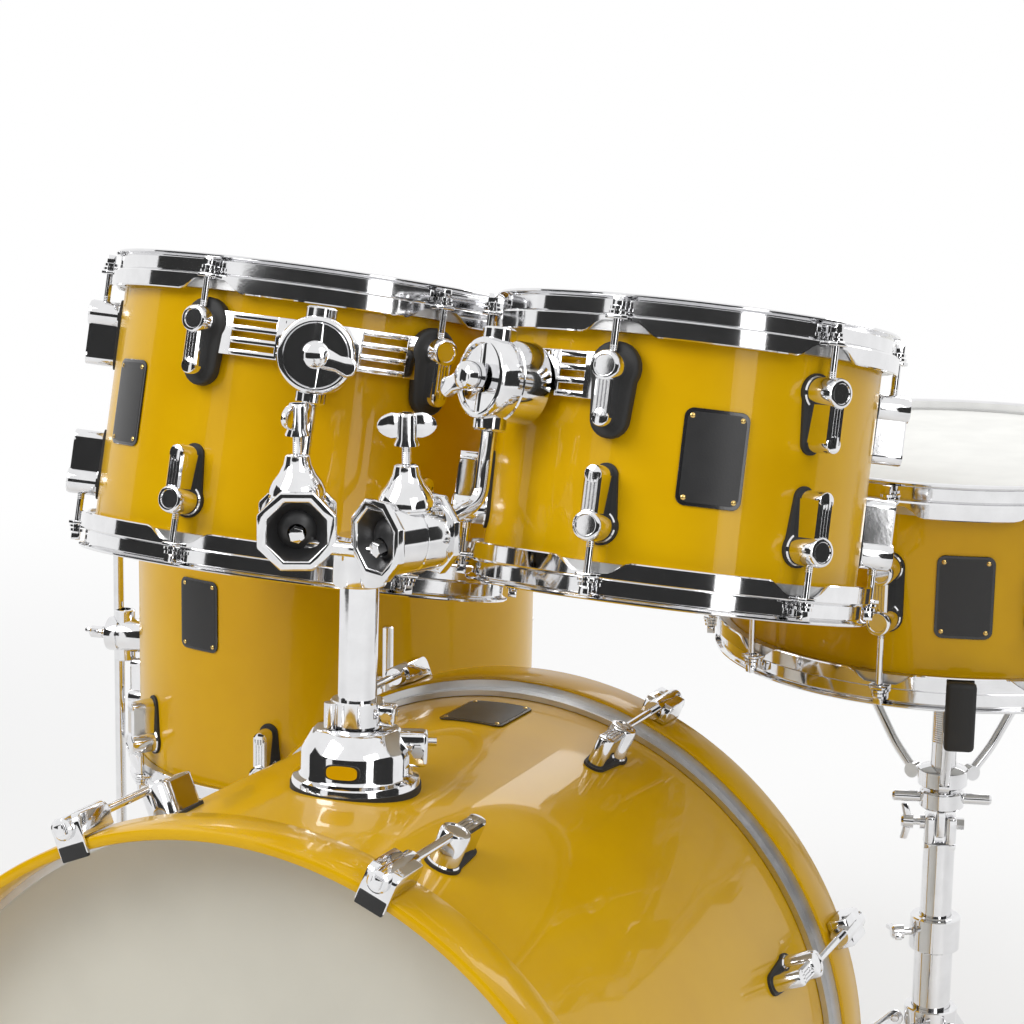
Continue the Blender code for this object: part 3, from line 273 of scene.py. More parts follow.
values = finishValues
lacquer = finish("yellow gloss lacquer", values["lacquerColour"], 0.30, second=values["lacquerDeep"],
                 scale=14.0, spread=0.03, bump=0.02, bumpScale=220.0, coat=0.38, shine=0.08)
chrome = finish("polished chrome", values["chromeColour"], 0.07, metallic=1.0, scale=60.0, spread=0.03,
                bump=0.02, bumpScale=300.0)
satinSteel = finish("satin steel", (0.55, 0.55, 0.56), 0.28, metallic=1.0, scale=90.0, bump=0.1)
aluminium = finish("rolled aluminium", values["aluminiumColour"], 0.30, metallic=1.0, scale=80.0, bump=0.08)
rubber = finish("black rubber", (0.018, 0.018, 0.018), 0.62, scale=120.0, bump=0.25)
blackNylon = finish("black nylon", (0.022, 0.022, 0.023), 0.35, scale=90.0, bump=0.12)
badgeBlack = finish("black badge enamel", (0.014, 0.014, 0.015), 0.22, scale=60.0, bump=0.03, coat=0.5)
brass = finish("brass screw", (0.72, 0.50, 0.18), 0.25, metallic=1.0, scale=200.0)
greyFilm = finish("cream grey drum film", values["filmGrey"], 0.38, scale=9.0, spread=0.05, bump=0.04,
                  bumpScale=500.0)
coatedFilm = finish("coated white drum film", values["filmWhite"], 0.62, scale=30.0, bump=0.35, bumpScale=1500.0)
clearFilm = finish("clear drum film", values["filmClear"], 0.22, scale=12.0, spread=0.06, bump=0.02)
print("finishes made")


# drums of metal hoops: two rack toms, floor tom and snare

hoopShape = {
    "lipOut": 0.0098, "lipUp": 0.0085, "lipThick": 0.0022, "wallIn": 0.0036, "wallOut": 0.0058,
    "shelf": -0.0055, "skirtOut": 0.0108, "skirtIn": 0.0086, "skirtEnd": -0.0178,
    "earOut": 0.0195, "earWide": 0.0150, "earThick": 0.0024, "rodOut": 0.0134, "notch": 0.0100, "notchRun": 0.0140,
}
lugShape = {"cap": 0.0100, "half": 0.0060, "out": 0.0250, "barLong": 0.0385, "grooveHalf": 0.0007, "grooveDeep": 0.0011,
            "grooveStep": 0.0024, "isolatorCap": 0.0168, "isolatorBar": 0.0128, "isolatorThick": 0.0105}
drums = {
    "left_tom": {"radius": 6 * inch, "depth": 8 * inch, "lugs": 6, "first": -4.2, "cap": 0.0385,
                 "badge": -34.2, "body": "left_tom", "batter": clearFilm},
    "right_tom": {"radius": 5 * inch, "depth": 7 * inch, "lugs": 6, "first": -2.3, "cap": 0.0385,
                  "badge": 27.7, "body": "right_tom", "batter": clearFilm},
    "floor_tom": {"radius": 7 * inch, "depth": 13 * inch, "lugs": 8, "first": 8.3, "cap": 0.0385,
                  "badge": -14.2, "body": "floor_tom", "batter": clearFilm},
    "snare": {"radius": 7 * inch, "depth": 6 * inch, "lugs": 10, "first": -2.2, "cap": 0.0576,
              "badge": 15.8, "body": "snare_drum", "batter": coatedFilm, "double": True},
}


def headMiddle(first, second):
    lowA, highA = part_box(first)
    lowB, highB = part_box(second)
    return (lowA + highA + lowB + highB) / 4.0


def drumFrame(name, axis):
    middle = headMiddle(name + "_batter_head", name + "_resonant_head")
    axis = Vector(axis).normalized()
    back = math.degrees(math.atan2(axis.y, axis.z))
    side = math.degrees(math.asin(axis.x))
    return Matrix.Translation(middle) @ turn(-back, "X") @ turn(side, "Y")


def shellTube(radius, depth, wall):
    half = depth / 2.0
    edge = 0.0030  # the bearing edge slopes in from the outer ply
    return spun([
        (radius, half - edge), (radius, -half + edge), (radius - wall * 0.5, -half), (radius - wall, -half + edge),
        (radius - wall, half - edge), (radius - wall * 0.5, half)], 128)


def lugBar(low, high, inner, outer):
    # across the bar: three grooves run its length
    half, groove, deep = lugShape["half"], lugShape["grooveHalf"], lugShape["grooveDeep"]
    crown = [(-half, outer - 0.0016), (-half + 0.0016, outer)]
    for middle in (-lugShape["grooveStep"], 0.0, lugShape["grooveStep"]):
        crown += [(middle - groove, outer), (middle - groove * 0.6, outer - deep),
                  (middle + groove * 0.6, outer - deep), (middle + groove, outer)]
    crown += [(half - 0.0016, outer), (half, outer - 0.0016)]
    section = [(half, inner), (-half, inner)] + crown
    bar = slab(section, high - low, (low + high) / 2.0)
    return moved(bar, Matrix(((1, 0, 0, 0), (0, -1, 0, 0), (0, 0, 1, 0), (0, 0, 0, 1))))


def capShape(inner, outer):
    # turned cap standing out from the shell, its axis along -Y
    radius = lugShape["cap"]
    cap = spun([
        (0.0, outer - 0.0007), (radius - 0.0036, outer - 0.0008), (radius - 0.0032, outer - 0.0001), (radius - 0.0022, outer),
        (radius - 0.0008, outer - 0.0007), (radius, outer - 0.0024),
        (radius, inner + 0.004), (radius + 0.0008, inner + 0.003), (radius + 0.0008, inner), (0.0, inner)], 40)
    return moved(cap, turn(90.0, "X"))


def pear(capAt, low, capRadius, barRadius):
    return arc(0.0, capAt, capRadius, -30.0, 210.0, 16) + arc(0.0, low, barRadius, 180.0, 360.0, 12)


def lugSet(radius, depth, capFromEdge, double):
    capAt = depth / 2.0 - capFromEdge
    inner, outer = radius - 0.001, radius + lugShape["out"]
    half = lugShape["half"]
    parts = [moved(capShape(inner, outer), shift(z=capAt))]
    pads = []
    if double:
        parts.append(moved(capShape(inner, outer), shift(z=-capAt)))
        parts.append(lugBar(-capAt + 0.004, capAt - 0.004, inner, outer - 0.0015))
        pads.append(slab(
            arc(0.0, capAt, 0.0118, 0.0, 180.0, 12) + arc(0.0, -capAt, 0.0118, 180.0, 360.0, 12), 0.0030))
    else:
        low = capAt - lugShape["barLong"] + half
        parts.append(lugBar(low, capAt - 0.004, inner, outer - 0.0015))
        parts.append(moved(soften(rod(half, inner, outer - 0.0015, 28), 0.0014, 2), shift(z=low) @ turn(90.0, "X")))
        pads.append(slab(pear(capAt, low, 0.0122, half + 0.0020), 0.0034))
    pads = [moved(p, shift(y=-(radius + 0.0002)) @ turn(90.0, "X")) for p in pads]
    return parts, pads


def hoopProfile(radius):
    h = hoopShape
    lip = h["lipThick"]
    return [
        (radius + h["lipOut"] - 0.0008, h["lipUp"]), (radius + h["lipOut"], h["lipUp"] - 0.0008),
        (radius + h["lipOut"], h["lipUp"] - lip + 0.0005), (radius + h["lipOut"] - 0.0006, h["lipUp"] - lip),
        (radius + h["wallOut"] + 0.0012, h["lipUp"] - lip - 0.0006), (radius + h["wallOut"], h["lipUp"] - lip - 0.0020),
        (radius + h["wallOut"], h["shelf"] + 0.0012), (radius + h["wallOut"] + 0.0012, h["shelf"]),
        (radius + h["skirtOut"] - 0.0012, h["shelf"]), (radius + h["skirtOut"], h["shelf"] - 0.0012),
        (radius + h["skirtOut"], h["skirtEnd"] + 0.0008), (radius + h["skirtOut"] - 0.0008, h["skirtEnd"]),
        (radius + h["skirtIn"], h["skirtEnd"]), (radius + h["skirtIn"], h["shelf"] - 0.0022),
        (radius + h["wallIn"], h["shelf"] - 0.0022), (radius + h["wallIn"], h["lipUp"] - 0.0012),
        (radius + h["wallIn"] + 0.0012, h["lipUp"])]


def keyRod(radius, end):
    # square key head on a round flange, washer, and the rod down into the lug
    head = soften(brick((-0.0032, -0.0032, -0.0006), (0.0032, 0.0032, 0.0060)), 0.0006)
    flange = rod(0.0051, -0.0024, -0.0004, 24)
    washer = rod(0.0058, -0.0052, -0.0036, 24)
    shank = rod(0.0026, end, -0.0020, 16)
    thread = [rod(0.0030, end + 0.0012 * k, end + 0.0012 * k + 0.0007, 14, 0.0026) for k in range(5)]
    return [moved(p, shift(y=-(radius + hoopShape["rodOut"]))) for p in [head, flange, washer, shank] + thread]


def metalHoop(name, at, radius, count, first, capFromEdge, body, node):
    h = hoopShape
    ring = spun(hoopProfile(radius), 240)
    for v in ring.verts:
        # the skirt hangs low between the lugs and draws up at each of them
        if v.co.z < h["shelf"] - 0.0030:
            azimuth = math.degrees(math.atan2(v.co.x, -v.co.y))
            away = abs((azimuth - first + 180.0 / count) % (360.0 / count) - 180.0 / count) * math.radians(radius)
            share = min(max((away - h["notch"]) / h["notchRun"], 0.0), 1.0)
            share = share * share * (3.0 - 2.0 * share)
            v.co.z = h["shelf"] - 0.0030 + (v.co.z - h["shelf"] + 0.0030) * (0.08 + 0.92 * share)
    piece(name + "_ring", ring, chrome, body, at, (node,))
    tab = slab([
        (-h["earWide"] / 2.0, 0.0), (-h["earWide"] / 2.0, 0.0060), (-h["earWide"] / 2.0 + 0.0030, 0.0100),
        (h["earWide"] / 2.0 - 0.0030, 0.0100), (h["earWide"] / 2.0, 0.0060), (h["earWide"] / 2.0, 0.0)],
        h["earThick"])
    soften(tab, 0.0005)
    inner = radius + h["earOut"] - 0.0100
    tab = moved(tab, shift(0.0, -inner, h["shelf"] - 0.0005 - h["earThick"] / 2.0) @ turn(180.0, "X"))
    ears = gather([tab], spots(count, first))
    piece(name + "_ears", ears, chrome, body, at)
    rods = gather(keyRod(radius, -(capFromEdge - lugShape["cap"]) - 0.002), spots(count, first))
    piece(name + "_tension_rods", rods, chrome, body, at)


def drumHead(name, at, radius, look, body, node):
    # crowned film that turns down over the edge, and the ring that grips it
    film = spun([
        (0.0, 0.0008), (radius - 0.0050, 0.0008), (radius - 0.0012, 0.0006), (radius + 0.0008, -0.0006),
        (radius + 0.0010, -0.0080), (radius + 0.0002, -0.0080), (radius + 0.0002, -0.0002), (radius - 0.004, 0.0002),
        (0.0, 0.0002)], 128)
    piece(name + "_film", film, look, body, at, (node,))
    ring = spun([
        (radius + 0.0080, -0.0084), (radius + 0.0080, -0.0158), (radius + 0.0008, -0.0158), (radius + 0.0008, -0.0084)], 128)
    piece(name + "_flesh_ring", ring, aluminium, body, at)


def badge(name, at, radius, azimuth, wide, tall, body):
    # a bare plate bent round the shell, with a raised rim and four screws
    spot = at @ turn(azimuth)
    half, high, corner = wide / 2.0, tall / 2.0, 0.0060
    outline = []
    for cx, cy, start in ((half - corner, high - corner, 0.0), (-half + corner, high - corner, 90.0),
                          (-half + corner, -high + corner, 180.0), (half - corner, -high + corner, 270.0)):
        outline += arc(cx, cy, corner, start, start + 90.0, 8)

    def bent(bm):
        for cut in range(-5, 6):
            x = half * cut / 5.5
            bmesh.ops.bisect_plane(
                bm, geom=bm.verts[:] + bm.edges[:] + bm.faces[:], plane_co=(x, 0, 0), plane_no=(1, 0, 0))
        for v in bm.verts:
            angle = v.co.x / radius
            out = radius + v.co.z
            v.co = Vector((out * math.sin(angle), -out * math.cos(angle), v.co.y))
        return bm

    plate = slab(outline, 0.0012, 0.0008)
    soften(plate, 0.0003, 1)
    piece(name, bent(plate), badgeBlack, body, spot)
    inset = slab([(x * 0.90, y * 0.93) for x, y in outline], 0.0010, 0.0011)
    piece(name + "_field", bent(inset), blackNylon, body, spot)
    screws = []
    for sx in (-1, 1):
        for sy in (-1, 1):
            angle = math.degrees(sx * (half - 0.0050) / radius)
            screw = spun([(0.0, 0.0024), (0.0010, 0.0023), (0.0017, 0.0018), (0.0018, 0.0010), (0.0, 0.0010)], 16)
            screws.append(moved(screw, turn(angle) @ shift(0.0, -radius, sy * (high - 0.0050)) @ turn(90.0, "X")))
    piece(name + "_screws", gather(screws), brass, body, spot)


def metalDrum(name, axis):
    d = drums[name]
    at = drumFrame(name, axis)
    radius, depth, body = d["radius"], d["depth"], d["body"]
    shell = shellTube(radius, depth, 0.006)
    piece(name + "_shell_skin", shell, lacquer, body, at, (name + "_shell",))
    parts, pads = lugSet(radius, depth, d["cap"], d.get("double", False))
    both = spots(d["lugs"], d["first"])
    flipped = [m @ turn(180.0, "Y") for m in both]
    places = both if d.get("double") else both + flipped
    piece(name + "_lugs", gather(parts, places), chrome, body, at)
    piece(name + "_lug_pads", gather(pads, places), rubber, body, at)
    for end, facing, first in (("batter", at, d["first"]), ("resonant", at @ turn(180.0, "Y"), -d["first"])):
        edge = facing @ shift(z=depth / 2.0)
        drumHead(f"{name}_{end}", edge, radius, d["batter"] if end == "batter" else clearFilm, body, f"{name}_{end}_head")
        metalHoop(f"{name}_{end}_hoop", edge, radius, d["lugs"], first, d["cap"], body, f"{name}_{end}_hoop")
    badge(name + "_badge", at, radius, d["badge"], 0.042, 0.062, body)
    print(name, "made")
    return at


tomFrames = {
    "left_tom": metalDrum("left_tom", joints["left_tom_height"]["axis"]),
    "right_tom": metalDrum("right_tom", joints["right_tom_height"]["axis"]),
}
floorFrame = metalDrum("floor_tom", (0.0, 0.0, 1.0))
snareFrame = metalDrum("snare", joints["snare_lift"]["axis"])


# mounts of the rack toms

mountShape = {
    "below": 0.0155, "plateUp": 0.009, "radius": 0.0270, "inner": 0.0085, "outer": 0.0468, "plateIn": 0.0062,
    "plateOut": 0.0090, "plateHigh": 0.0300, "bar": 0.0045, "barStep": 0.0085, "rodOut": 0.0340, "lever": 0.0285,
}


def tomMount(side, azimuth, leverTurn):
    name = side + "_tom"
    d, m = drums[name], mountShape
    radius, body = d["radius"], d["body"]
    height = d["depth"] / 2.0 - d["cap"] - m["below"]
    at = tomFrames[name] @ turn(azimuth)
    half = 30.0 - math.degrees(0.0115 / radius)
    middle, hub, web = height + m["plateUp"], math.degrees(0.0290 / radius), 3.5
    bars = []
    for start, end, low, high in (
            [(-half, half, k * m["barStep"], k * m["barStep"] + m["bar"]) for k in range(4)]
            + [(-half, -half + web, 0.0, m["plateHigh"]), (half - web, half, 0.0, m["plateHigh"]), (-hub, hub, 0.0, m["plateHigh"])]):
        band = arc(0.0, 0.0, radius + m["plateOut"], -90.0 + start, -90.0 + end, 24)
        band += arc(0.0, 0.0, radius + m["plateIn"], -90.0 + end, -90.0 + start, 24)
        bars.append(soften(slab(band, high - low, middle - m["plateHigh"] / 2.0 + (low + high) / 2.0), 0.0008, 2))
    piece(name + "_mount_band", gather(bars), chrome, body, at, (name + "_mount",))
    # rubber isolators where the band hangs on the two lugs
    capAt = d["depth"] / 2.0 - d["cap"]
    low = capAt - lugShape["barLong"] + lugShape["half"]
    ends = []
    for sign in (-1, 1):
        block = soften(slab(pear(capAt, low, lugShape["isolatorCap"], lugShape["isolatorBar"]), lugShape["isolatorThick"]), 0.0028, 3)
        ends.append(moved(block, turn(sign * 30.0) @ shift(0.0, -(radius + 0.0058), 0.0) @ turn(90.0, "X")))
    piece(name + "_isolators", gather(ends), rubber, body, at)
    r, a, b = m["radius"], m["inner"], m["outer"]
    drumlet = spun([
        (0.0, b - 0.0020), (r - 0.0052, b - 0.0020), (r - 0.0044, b - 0.0002), (r - 0.0030, b), (r - 0.0010, b - 0.0010),
        (r, b - 0.0032), (r, b - 0.0150), (r - 0.0012, b - 0.0158),
        (r - 0.0012, b - 0.0176), (r, b - 0.0184), (r, a), (0.0, a)], 64)
    housing = moved(drumlet, shift(0.0, -radius, height) @ turn(90.0, "X"))
    collar = spun([(0.0090, 0.0335), (0.0110, 0.0320), (0.0115, 0.0), (0.0066, 0.0), (0.0066, 0.0335)], 32)
    top = moved(collar, shift(0.0, -(radius + m["rodOut"]), height))
    low = moved(spun([(0.0090, 0.0335), (0.0110, 0.0320), (0.0115, 0.0), (0.0066, 0.0), (0.0066, 0.0335)], 32),
                shift(0.0, -(radius + m["rodOut"]), height) @ turn(180.0, "X"))
    piece(name + "_mount_housing", gather([housing, top, low]), chrome, body, at)
    lever(name, at @ shift(0.0, -(radius + 0.0473), height), leverTurn)


def lever(name, at, leverTurn):
    long = mountShape["lever"]
    hub = spun([(0.0, 0.0140), (0.0060, 0.0138), (0.0085, 0.0120), (0.0095, 0.0085), (0.0095, 0.0), (0.0, 0.0)], 40)
    outline = arc(0.0, 0.0, 0.0085, 60.0, 300.0, 20)
    outline += [(0.0160, -0.0055)] + arc(long - 0.0060, 0.0, 0.0072, -75.0, 75.0, 12) + [(0.0160, 0.0055)]
    wing = soften(slab(outline, 0.0065, 0.0065), 0.0018, 3)
    wing = moved(wing, turn(leverTurn))
    shape = moved(gather([hub, wing]), turn(90.0, "X"))
    piece(name + "_wing_lever", shape, chrome, name + "_lever", at, (name + "_lever",))


leftMount, rightMount = -4.2 + 30.0, -2.3 - 30.0
tomMount("left", leftMount, -14.0)
tomMount("right", rightMount, -160.0)


# bass drum

bassShape = {
    "radius": 10 * inch, "depth": 16 * inch, "lugs": 8, "first": 22.5, "cap": 0.0590, "woodIn": 0.0052,
    "woodOut": 0.0128, "woodStart": 0.0022, "woodEnd": 0.0426, "rodOut": 0.0220,
}
postAxis = Vector(joints["tom_post_height"]["axis"]).normalized()
bassAlong = postAxis.cross(Vector((1.0, 0.0, 0.0)))
bassTilt = math.degrees(math.asin(-bassAlong.z))
bassLevel = Matrix.Translation(headMiddle("bass_front_head", "bass_batter_head")) @ turn(-bassTilt, "X")
bassFrame = bassLevel @ turn(-90.0, "X")


def clawHook(b):
    # strap over the wooden hoop with a rubber-tipped lip, and the rod's round eye
    outer = b["radius"] + b["woodOut"]
    face = b["woodEnd"]
    top = b["radius"] + 0.0285
    outline = [(0.010, outer + 0.0006), (face + 0.0002, outer + 0.0006), (face + 0.0002, outer - 0.0092),
               (face + 0.0030, outer - 0.0092)]
    outline += arc(face - 0.0030, top - 0.0060, 0.0060, 0.0, 90.0, 8)
    outline += [(0.012, top), (0.010, top - 0.003)]
    strap = soften(slab(outline, 0.0210), 0.0012, 2)
    strap = moved(strap, Matrix(((0, 0, 1, 0), (0, -1, 0, 0), (1, 0, 0, 0), (0, 0, 0, 1))))
    eye = spun([(0.0, 0.0500), (0.0058, 0.0500), (0.0070, 0.0488), (0.0075, 0.0440), (0.0075, 0.0060), (0.0066, 0.0040),
                (0.0, 0.0040)], 28)
    eye = moved(eye, shift(y=-(b["radius"] + b["rodOut"])))
    return [strap, eye]


def bassHoop(name, edge, first, node):
    b = bassShape
    outer, inner = b["radius"] + b["woodOut"], b["radius"] + b["woodIn"]
    low, high, r = b["woodStart"], b["woodEnd"], 0.0022
    ring = spun([
        (outer - r, high), (outer - r * 0.3, high - r * 0.3), (outer, high - r), (outer, low + r), (outer - r * 0.3, low + r * 0.3),
        (outer - r, low), (inner, low), (inner, high - r), (inner + r * 0.3, high - r * 0.3), (inner + r, high)], 180)
    piece(name + "_wood", ring, lacquer, "root", edge, (node,))
    places = spots(b["lugs"], first)
    piece(name + "_claws", gather(clawHook(b), places), chrome, "root", edge)
    tip = soften(brick((-0.0095, -(outer - 0.0012), b["woodEnd"] - 0.0002),
                       (0.0095, -(outer - 0.0108), b["woodEnd"] + 0.0036)), 0.0008)
    piece(name + "_claw_pads", gather([tip], places), rubber, "root", edge)
    end = -(b["cap"] - lugShape["cap"]) - 0.002
    parts = [rod(0.0029, end, 0.0510, 16), soften(brick((-0.0034, -0.0034, 0.0500), (0.0034, 0.0034, 0.0516)), 0.0004)]
    parts = [moved(p, shift(y=-(b["radius"] + b["rodOut"]))) for p in parts]
    piece(name + "_rods", gather(parts, places), chrome, "root", edge)


def bassHead(name, edge, look, node):
    radius = bassShape["radius"]
    film = spun([
        (0.0, 0.0009), (radius - 0.012, 0.0009), (radius - 0.004, 0.0006), (radius - 0.001, 0.0009), (radius + 0.0030, 0.0006),
        (radius + 0.0034, -0.0010), (radius + 0.0006, -0.0010), (radius - 0.004, 0.0001), (0.0, 0.0001)], 160)
    piece(name + "_film", film, look, "root", edge, (node,))
    ring = spun([
        (radius + 0.0046, 0.0020), (radius + 0.0104, 0.0020), (radius + 0.0104, 0.0006), (radius + 0.0046, 0.0004),
        (radius + 0.0046, -0.0098), (radius + 0.0005, -0.0098), (radius + 0.0005, 0.0020)], 160)
    piece(name + "_flesh_ring", ring, aluminium, "root", edge)


def bassDrum():
    b = bassShape
    shell = shellTube(b["radius"], b["depth"], 0.007)
    piece("bass_shell_skin", shell, lacquer, "root", bassFrame, ("bass_shell",))
    parts, pads = lugSet(b["radius"], b["depth"], b["cap"], False)
    both = spots(b["lugs"], b["first"])
    places = both + [m @ turn(180.0, "Y") for m in both]
    piece("bass_lugs", gather(parts, places), chrome, "root", bassFrame)
    piece("bass_lug_pads", gather(pads, places), rubber, "root", bassFrame)
    for name, facing, first, look in (("front", bassFrame @ turn(180.0, "Y"), -b["first"], greyFilm),
                                      ("batter", bassFrame, b["first"], coatedFilm)):
        edge = facing @ shift(z=b["depth"] / 2.0)
        bassHead("bass_" + name, edge, look, f"bass_{name}_head")
        bassHoop(f"bass_{name}_hoop", edge, first, f"bass_{name}_hoop")
    badge("bass_badge", bassFrame @ shift(z=0.142), b["radius"], 0.0, 0.050, 0.062, "root")
    print("bass drum made")


bassDrum()


# spurs

spurShape = {"radius": 0.0078, "foot": 0.0128, "high": 0.022, "plateHalf": 0.0228, "stand": 0.0118, "disc": 0.0178}


def spur(side, name):
    pivot = Vector(joints[name + "_fold"]["pos_m"])
    low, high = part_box(name)
    tip = Vector((high.x - spurShape["foot"] if side > 0 else low.x + spurShape["foot"], low.y + spurShape["foot"], 0.011))
    fromMiddle = bassFrame.inverted() @ pivot
    axis = bassFrame.to_3x3() @ Vector((fromMiddle.x, fromMiddle.y, 0.0)).normalized()
    facing = axis.to_track_quat("Z", "Y").to_matrix().to_4x4()
    run = tip - pivot
    leg = swept([pivot + run * 0.02, pivot + run * 0.97], spurShape["radius"], 24)
    disc = spun([
        (0.0, 0.0060), (0.0100, 0.0058), (0.0120, 0.0044), (0.0168, 0.0042), (0.0178, 0.0032), (0.0178, -0.0043),
        (0.0, -0.0043)], 48)
    disc = moved(disc, Matrix.Translation(pivot) @ facing)
    sleeve = swept([pivot + run * 0.05, pivot + run * 0.26], 0.0098, 24)
    piece(name + "_leg", gather([leg, disc, sleeve]), chrome, name, None, (name,))
    foot = spun([
        (0.0, 0.0110), (0.0088, 0.0110), (0.0108, 0.0095), (0.0112, 0.0040), (0.0128, 0.0020), (0.0128, -0.0095),
        (0.0112, -0.0110), (0.0, -0.0110)], 40)
    piece(name + "_foot", moved(foot, Matrix.Translation(tip)), rubber, name)
    half = spurShape["plateHalf"]
    plate = soften(brick((-half, -half, -0.0150), (half, half, 0.0)), 0.0025, 3)
    bolts = [moved(spun([(0.0, 0.0022), (0.0030, 0.0020), (0.0042, 0.0), (0.0, -0.001)], 20), shift(x, y))
             for x in (-0.0165, 0.0165) for y in (-0.0165, 0.0165)]
    onPlate = Matrix.Translation(pivot) @ facing @ shift(z=-0.0049)
    plates = gather([plate] + bolts)
    piece(name + "_plate", plates, chrome, "root", onPlate)


spur(-1, "bass_spur_left")
spur(1, "bass_spur_right")
print("spurs made")


# tom holder

holderShape = {"back": -0.069, "post": 0.0127, "from": 0.130, "to": 0.405, "ball": 0.0200}
holderFrame = bassLevel @ shift(y=holderShape["back"])


def holder():
    r = bassShape["radius"]
    p = holderShape["post"]
    tube = spun([(0.0, holderShape["to"]), (p, holderShape["to"]), (p, 0.131), (0.0, 0.131)], 48)
    piece("holder_tube", tube, chrome, "tom_post", holderFrame, ("holder_post",))
    low = r + 0.0383
    collar = spun([
        (0.0166, low + 0.018), (0.0175, low + 0.017), (0.0175, low + 0.001), (0.0166, low), (p, low), (p, low + 0.018)], 48)
    knuckle = [moved(rod(0.0042, low + 0.0008, low + 0.0172, 20), turn(-38.0) @ shift(y=-0.0190))]
    boss = moved(soften(brick((-0.0062, -0.0262, low + 0.002), (0.0062, -0.0150, low + 0.016)), 0.0022, 3), turn(100.0))
    screw = moved(rod(0.0034, -0.0105, 0.0105, 20), turn(100.0) @ shift(0.0, -0.0222, low + 0.009) @ turn(90.0, "Y"))
    piece("memory_collar_ring", gather([collar, boss, screw] + knuckle), chrome, "tom_post", holderFrame,
          ("memory_collar",))
    # base: flange on the shell, drum with a window, cone and clamp ear
    saddle = 0.0100
    base = spun([
        (0.0160, r + 0.0380), (0.0262, r + 0.0380), (0.0285, r + 0.0365), (0.0350, r + 0.0250), (0.0358, r + 0.0232),
        (0.0358, r + 0.0095), (0.0372, r + 0.0070), (0.0410, r + 0.0056), (0.0418, r + 0.0040), (0.0418, r - saddle),
        (0.0160, r - saddle)], 72)
    ear = moved(soften(brick((-0.0088, -0.0465, r + 0.0130), (0.0088, -0.0250, r + 0.0360)), 0.0030, 3), turn(114.0))
    bolt = moved(rod(0.0042, -0.0135, 0.0135, 6), turn(114.0) @ shift(0.0, -0.0400, r + 0.0245) @ turn(90.0, "Y"))
    handle = moved(swept([(-0.0120, 0, 0), (0.0120, 0, 0)], 0.0028, 12),
                   turn(114.0) @ shift(0.0155, -0.0400, r + 0.0245) @ turn(90.0, "Z"))
    piece("holder_base_casting", gather([base, ear, bolt, handle]), chrome, "root", holderFrame,
          ("holder_base",))
    for look, grow, deep in ((rubber, 1.0, 0.0354), (lacquer, 0.86, 0.0360)):
        oval = [(0.0118 * grow * math.copysign(abs(math.cos(a)) ** 0.6, math.cos(a)),
                 0.0052 * grow * math.copysign(abs(math.sin(a)) ** 0.6, math.sin(a)))
                for a in [2.0 * math.pi * k / 40 for k in range(40)]]
        window = moved(slab(oval, 0.0026), shift(0.0, -deep + 0.0004, r + 0.0158) @ turn(90.0, "X"))
        piece(f"holder_base_window_{look.name.split()[-1]}", window, look, "root", holderFrame @ turn(12.0))
    gasket = spun([(0.0428, r + 0.0010), (0.0428, r - 0.0060), (0.0400, r - 0.0060), (0.0400, r + 0.0010)], 72)
    piece("holder_base_gasket", gasket, rubber, "root", holderFrame)


def rodPoints(side):
    # centre of the ball, elbow and top of the rod
    name = side + "_tom"
    d = drums[name]
    azimuth, elbowHigh = (leftMount, -0.038) if side == "left" else (rightMount, -0.045)
    height = d["depth"] / 2.0 - d["cap"] - mountShape["below"]
    radial = outward(azimuth) * (d["radius"] + mountShape["rodOut"])
    elbow = tomFrames[name] @ Vector((radial.x, radial.y, elbowHigh))
    top = tomFrames[name] @ Vector((radial.x, radial.y, height + 0.0205))
    return Vector(joints[side + "_ball_tilt"]["pos_m"]), elbow, top


